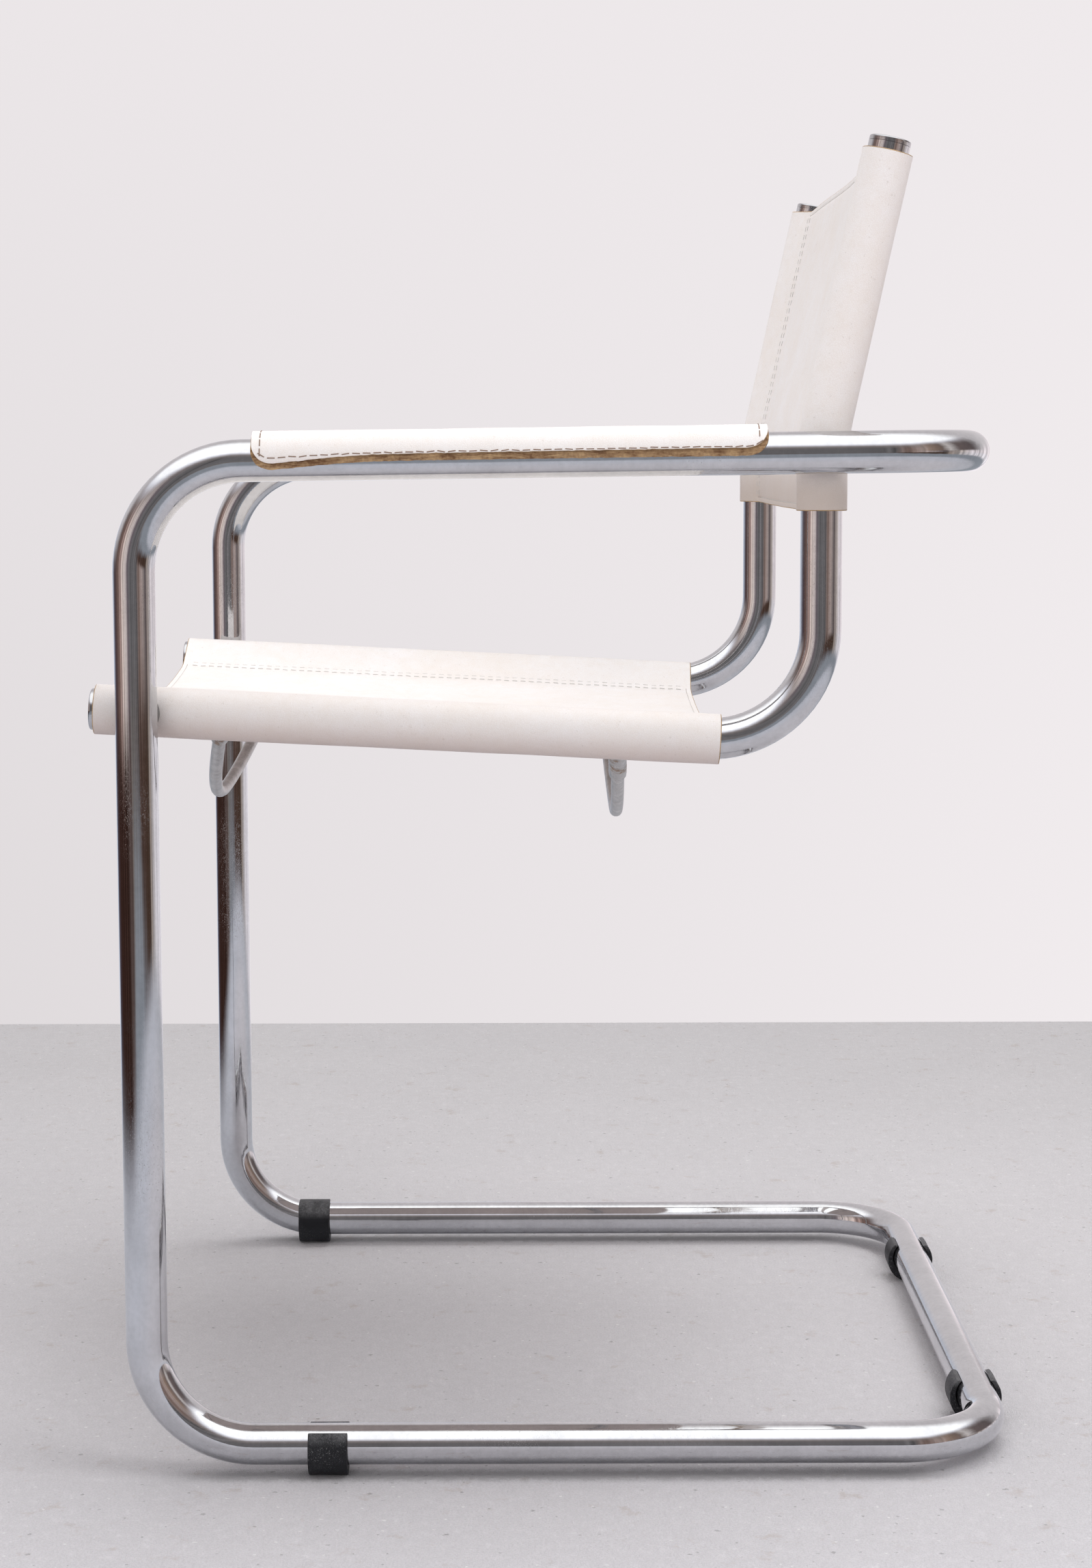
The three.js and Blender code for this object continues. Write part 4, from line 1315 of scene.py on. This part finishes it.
class CHAIR_OT_glides(bpy.types.Operator):
    """Models the four plastic glides clipped round the base tube"""

    bl_idname = "chair.glides"
    bl_label = "Glides"

    # The outer surface is a little shorter than the inner one, and sits lower: thick sole, thin lips
    narrowing = 0.094
    lowering = 0.0020
    rounding = 0.0010

    def execute(self, context):
        fittings = context.scene.chair_fittings
        plastic = plastic_material("glide_plastic", fittings.plastic)
        # Each glide's turn on its tube, and half of its opening, in degrees
        for node, middle, heading, turned, opening in (
            ("front_glide_left", place(LEG_X, 0.1095, 0), AXIS_Y, 0, 40),
            ("front_glide_right", place(-LEG_X, 0.0615, 0), AXIS_Y, 55, 42),
            ("rear_glide_left", place(0.165, BASE_DEPTH, 0), AXIS_X, 0, 44),
            ("rear_glide_right", place(-0.158, BASE_DEPTH, 0), AXIS_X, 0, 44),
        ):
            upward = Matrix.Rotation(math.radians(-turned), 3, heading) @ AXIS_Z
            name = node.replace("glide", "glide_clip")
            piece = self.glide(name, middle, heading, upward, math.radians(opening), fittings)
            smooth(piece, 30)
            finish_piece(piece, [node], [plastic])
        return {"FINISHED"}

    def glide(self, name, middle, heading, upward, opening, fittings):
        """A clip round the tube, open upwards, with a thick sole, flat on the floor, and thinner, rounded lips."""
        inner = TUBE_RADIUS + FIT_GAP
        piece = new_ring(name, 120, inner, middle - heading * (fittings.glide_length / 2), heading)
        lip = inner * math.cos(opening)
        edit(piece)
        select_where(piece, "VERT", lambda point: (point - middle).dot(upward) > lip)
        bpy.ops.mesh.delete(type="VERT")
        bpy.ops.mesh.select_all(action="SELECT")
        bpy.ops.mesh.extrude_region_move(TRANSFORM_OT_translate={"value": heading * fittings.glide_length})
        stop_editing()
        clean_surface(piece)

        def away(point):
            return point - middle - heading * (point - middle).dot(heading)

        face = piece.data.polygons[0]
        outward = face.normal.dot(away(face.center)) > 0
        offset = 1 if outward else -1
        add_modifier(piece, "SOLIDIFY", thickness=fittings.glide_wall, offset=offset, use_even_offset=True)
        edit(piece)
        select_where(piece, "VERT", lambda point: away(point).length > inner + fittings.glide_wall / 2)
        level = Vector((abs(heading.x), abs(heading.y), 0))
        narrowed = Vector((1, 1, 1)) - (Vector((1, 1, 1)) - level) * self.narrowing
        bpy.ops.transform.resize(value=narrowed, center_override=middle)
        bpy.ops.transform.translate(value=upward * -self.lowering)
        bpy.ops.mesh.select_all(action="SELECT")
        bpy.ops.mesh.normals_make_consistent(inside=False)
        bpy.ops.mesh.bisect(plane_co=(0, 0, 0), plane_no=(0, 0, -1), use_fill=True, clear_outer=True)
        stop_editing()
        round_edges(piece, self.rounding, 5, 50)
        return piece


class CHAIR_OT_seat_sling(bpy.types.Operator):
    """Models the leather seat, wrapped round the rails and sewn back to itself"""

    bl_idname = "chair.seat_sling"
    bl_label = "Seat Sling"

    def execute(self, context):
        leather = context.scene.chair_leather
        upward = Vector((0, math.sin(RAIL_FALL), math.cos(RAIL_FALL)))

        def carry(along, x, v):
            return place(x, 0, rail_height(0)) + RAIL_AHEAD * (along / math.cos(RAIL_FALL)) + upward * v

        sheet = SlingSheet(
            sling_section(seam_drop=0.0053, middle_drop=0.014, power=2.6, thickness=leather.thickness),
            start=-0.0285, end=0.3505, carry=carry,
            start_edge=lambda x: 0.0, end_edge=lambda x: 0.0035 * arch(x) - 0.0035 * x / RAIL_X,
            # Painted light: tone darkens the seat's leather a little, where the lamps fall strongest
            wander=lambda x, v, along: creased(x, v, along, size=0.0009, seed=2.0), settings=leather, tone=0.95,
        )
        seat = sheet.make_pieces("seat")
        return {"FINISHED"}


class CHAIR_OT_back_sling(bpy.types.Operator):
    """Models the leather back, wrapped round the posts and sewn back to itself"""

    bl_idname = "chair.back_sling"
    bl_label = "Back Sling"

    def execute(self, context):
        leather = context.scene.chair_leather
        lean_length = POST_BEND * POST_LEAN

        def carry(along, x, v):
            """along is measured on the posts' axis, from the height of their lean bend."""
            if along < 0:
                spot, tilt = place(x, POST_DEPTH, LEAN_START + along), 0.0
            else:
                tilt = min(along, lean_length) / POST_BEND
                beyond = max(along - lean_length, 0)
                depth = POST_DEPTH + POST_BEND * (1 - math.cos(tilt)) + beyond * math.sin(POST_LEAN)
                spot = place(x, depth, LEAN_START + POST_BEND * math.sin(tilt) + beyond * math.cos(POST_LEAN))
            return spot + Vector((0, -math.cos(tilt), math.sin(tilt))) * v

        bare_top = 0.004
        sheet = SlingSheet(
            sling_section(seam_drop=-0.0012, middle_drop=0.0025, power=1.4, thickness=leather.thickness),
            start=0.5635 - LEAN_START, end=lean_length + (POST_TOP - bare_top - LEAN_END) / math.cos(POST_LEAN),
            carry=carry,
            start_edge=lambda x: -0.002 * arch(x), end_edge=lambda x: 0.005 * arch(x) - 0.00135 * x / RAIL_X,
            # Painted light: tone lightens the back's leather a little, where the lamps fall weaker on it
            wander=lambda x, v, along: creased(x, v, along, size=0.0007, seed=7.0), settings=leather, tone=1.06,
        )
        back = sheet.make_pieces("back")
        return {"FINISHED"}


class CHAIR_OT_arm_covers(bpy.types.Operator):
    """Models the leather covers bent over the arms, with their raw lining below"""

    bl_idname = "chair.arm_covers"
    bl_label = "Arm Covers"

    start = 0.0705
    length = 0.3015
    corner = 0.012
    lining_radius = TUBE_RADIUS + 0.0004
    lining_thickness = 0.0015
    flap_short = 0.0036
    end_inset = 0.0006
    rounding = 0.0006
    edge_height = -0.0013
    droop = 0.0046
    droop_length = 0.045
    rise_behind = 0.27
    rows = 200
    columns = 36
    stitch_width = 0.0007
    stitch_lift = 0.00006
    stitch_inset = 0.0050
    # Places near an end, close together for its rounded corners
    near_end = (
        0.0, 0.00004, 0.00015, 0.00035, 0.0006, 0.001, 0.0016, 0.0024, 0.0034, 0.0047, 0.0062, 0.008, 0.01, 0.0125,
    )

    def execute(self, context):
        leather = context.scene.chair_leather
        # Painted light: the arm covers' leather is a shade darker, where the lamps fall strongest on the pads
        white = leather_material("arm_cover_white", scaled(leather.white, 0.955), None)
        raw = raw_edge_material(leather)
        brown = raw_leather_material("lining_leather", leather.raw, leather.lining, 420.0)
        thread = thread_material("dark_thread", leather.dark_thread)
        for side, sign in zip(SIDES, (1, -1)):
            radius = self.lining_radius + self.lining_thickness / 2
            lining = self.sheet(f"arm_lining_hide_{side}", sign, radius, 0.0, 0.0)
            self.thicken(lining, self.lining_thickness, [brown, brown])
            finish_piece(lining, [f"arm_lining_{side}"], [brown, brown])
            radius = self.lining_radius + self.lining_thickness + 0.0003 + leather.thickness / 2
            cover = self.sheet(f"arm_cover_hide_{side}", sign, radius, self.flap_short, self.end_inset)
            self.thicken(cover, leather.thickness, [white, raw])
            finish_piece(cover, [f"arm_cover_{side}"], [white, raw])
            runs = self.stitch_places(sign, radius, leather)
            stitches(f"arm_stitches_{side}", runs, leather.arm_stitch, self.stitch_width, self.stitch_lift, thread)
        return {"FINISHED"}

    def flap_end(self, along, short):
        """Height of the flap's lower edge over the tube's axis: it droops at the front."""
        droop = self.droop * bell(along, self.droop_length)
        seed = 5.0 if short else 9.0
        frayed = sum(
            noise.noise(Vector((along * pace, 0, seed))) * size for pace, size in ((190, 0.00035), (700, 0.0002))
        )
        return self.edge_height - droop + short * (1.0 + self.rise_behind * along / self.length) + frayed

    def spot(self, sign, radius, along, share, short, inset, margin=0.0):
        """A point of the cover, for a place along the arm and a share of the half width, and its outward side."""
        at = inset + along * (self.length - 2 * inset)
        half = radius * QUARTER - self.flap_end(at, short)
        into = max(self.corner - min(at - inset, self.length - inset - at), 0)
        cut_back = self.corner - math.sqrt(max(self.corner**2 - into**2, 0))
        reach = (half - cut_back - margin) * share
        around = max(min(reach, radius * QUARTER), -radius * QUARTER)
        angle = around / radius
        worn = noise.noise(Vector((at * 22, reach * 40, radius * 300))) * 0.0002
        across = Vector((sign * math.sin(angle), 0, math.cos(angle)))
        depth = self.start + at
        centre = place(sign * LEG_X, depth, arm_height(depth))
        return centre + across * (radius + worn) - AXIS_Z * abs(reach - around), across

    def sheet(self, name, sign, radius, short, inset):
        ends = [v / self.length for v in self.near_end]
        middle = [ends[-1] + (1 - 2 * ends[-1]) * i / self.rows for i in range(1, self.rows)]
        shares = [-1 + 2 * j / self.columns for j in range(self.columns + 1)]
        return sheet_object(name, [
            [self.spot(sign, radius, at, share, short, inset)[0] for share in shares]
            for at in ends + middle + [1 - v for v in reversed(ends)]
        ])

    def thicken(self, piece, thickness, materials):
        clean_surface(piece)
        face = max(piece.data.polygons, key=lambda f: f.center.z)
        if face.normal.z < 0:
            edit(piece, "SELECT")
            bpy.ops.mesh.flip_normals()
            stop_editing()
        thicken_sheet(piece, materials, thickness, self.rounding, 2)

    def stitch_places(self, sign, radius, leather):
        """Places along a line inside the cover's edge, all round it, closer to the edge behind than in front."""
        first = self.stitch_inset / self.length
        edge = [(first + (1 - 2 * first) * i / 400, 1.0) for i in range(401)]
        end = [(1 - first, 1.0 - 2.0 * i / 60) for i in range(1, 61)]
        back = [(1 - at, -1.0) for at, _ in edge[1:]] + [(first, -1.0 + 2.0 * i / 60) for i in range(1, 61)]
        line = []
        for at, share in edge + end + back:
            margin = 0.0011 + 0.0023 * bell(at * 6.7, 1)
            top = radius + leather.thickness / 2
            line.append(self.spot(sign, top, at, share, self.flap_short, self.end_inset, margin))
        found = []
        for k, spot, ahead in walk([point for point, _ in line], 0.001, leather.stitch_pitch + 0.0001):
            out = line[k][1]
            found.append((spot, ahead, (out - ahead * out.dot(ahead)).normalized()))
        return found


class CHAIR_PT_panel(bpy.types.Panel):
    """Lists the chair's pieces in the order they are made"""

    bl_idname = "CHAIR_PT_panel"
    bl_label = "Lounge Chair"
    bl_space_type = "VIEW_3D"
    bl_region_type = "UI"
    bl_category = "Lounge Chair"

    def draw(self, context):
        for settings in ("chair_tubes", "chair_leather", "chair_fittings", "chair_stage"):
            group = getattr(context.scene, settings)
            box = self.layout.box()
            for key in group.__annotations__:
                box.prop(group, key)
        column = self.layout.column()
        for operator in OPERATORS:
            column.operator(operator.bl_idname)


SETTINGS = {
    "chair_tubes": ChairTubeSettings,
    "chair_leather": ChairLeatherSettings,
    "chair_fittings": ChairFittingSettings,
    "chair_stage": ChairStageSettings,
}
OPERATORS = (
    CHAIR_OT_stage,
    CHAIR_OT_outer_frame,
    CHAIR_OT_seat_tubes,
    CHAIR_OT_end_caps,
    CHAIR_OT_fasteners,
    CHAIR_OT_stretchers,
    CHAIR_OT_glides,
    CHAIR_OT_seat_sling,
    CHAIR_OT_back_sling,
    CHAIR_OT_arm_covers,
)


def register():
    for settings in SETTINGS.values():
        bpy.utils.register_class(settings)
    for name, settings in SETTINGS.items():
        setattr(bpy.types.Scene, name, PointerProperty(type=settings))
    for made in (*OPERATORS, CHAIR_PT_panel):
        bpy.utils.register_class(made)


def unregister():
    for made in reversed((*OPERATORS, CHAIR_PT_panel)):
        bpy.utils.unregister_class(made)
    for name, settings in SETTINGS.items():
        delattr(bpy.types.Scene, name)
        bpy.utils.unregister_class(settings)


def main():
    register()
    for step in (
        bpy.ops.chair.stage,
        bpy.ops.chair.outer_frame,
        bpy.ops.chair.seat_tubes,
        bpy.ops.chair.end_caps,
        bpy.ops.chair.fasteners,
        bpy.ops.chair.stretchers,
        bpy.ops.chair.glides,
        bpy.ops.chair.seat_sling,
        bpy.ops.chair.back_sling,
        bpy.ops.chair.arm_covers,
    ):
        step()
    clear_selection()


if __name__ == "__main__":
    main()
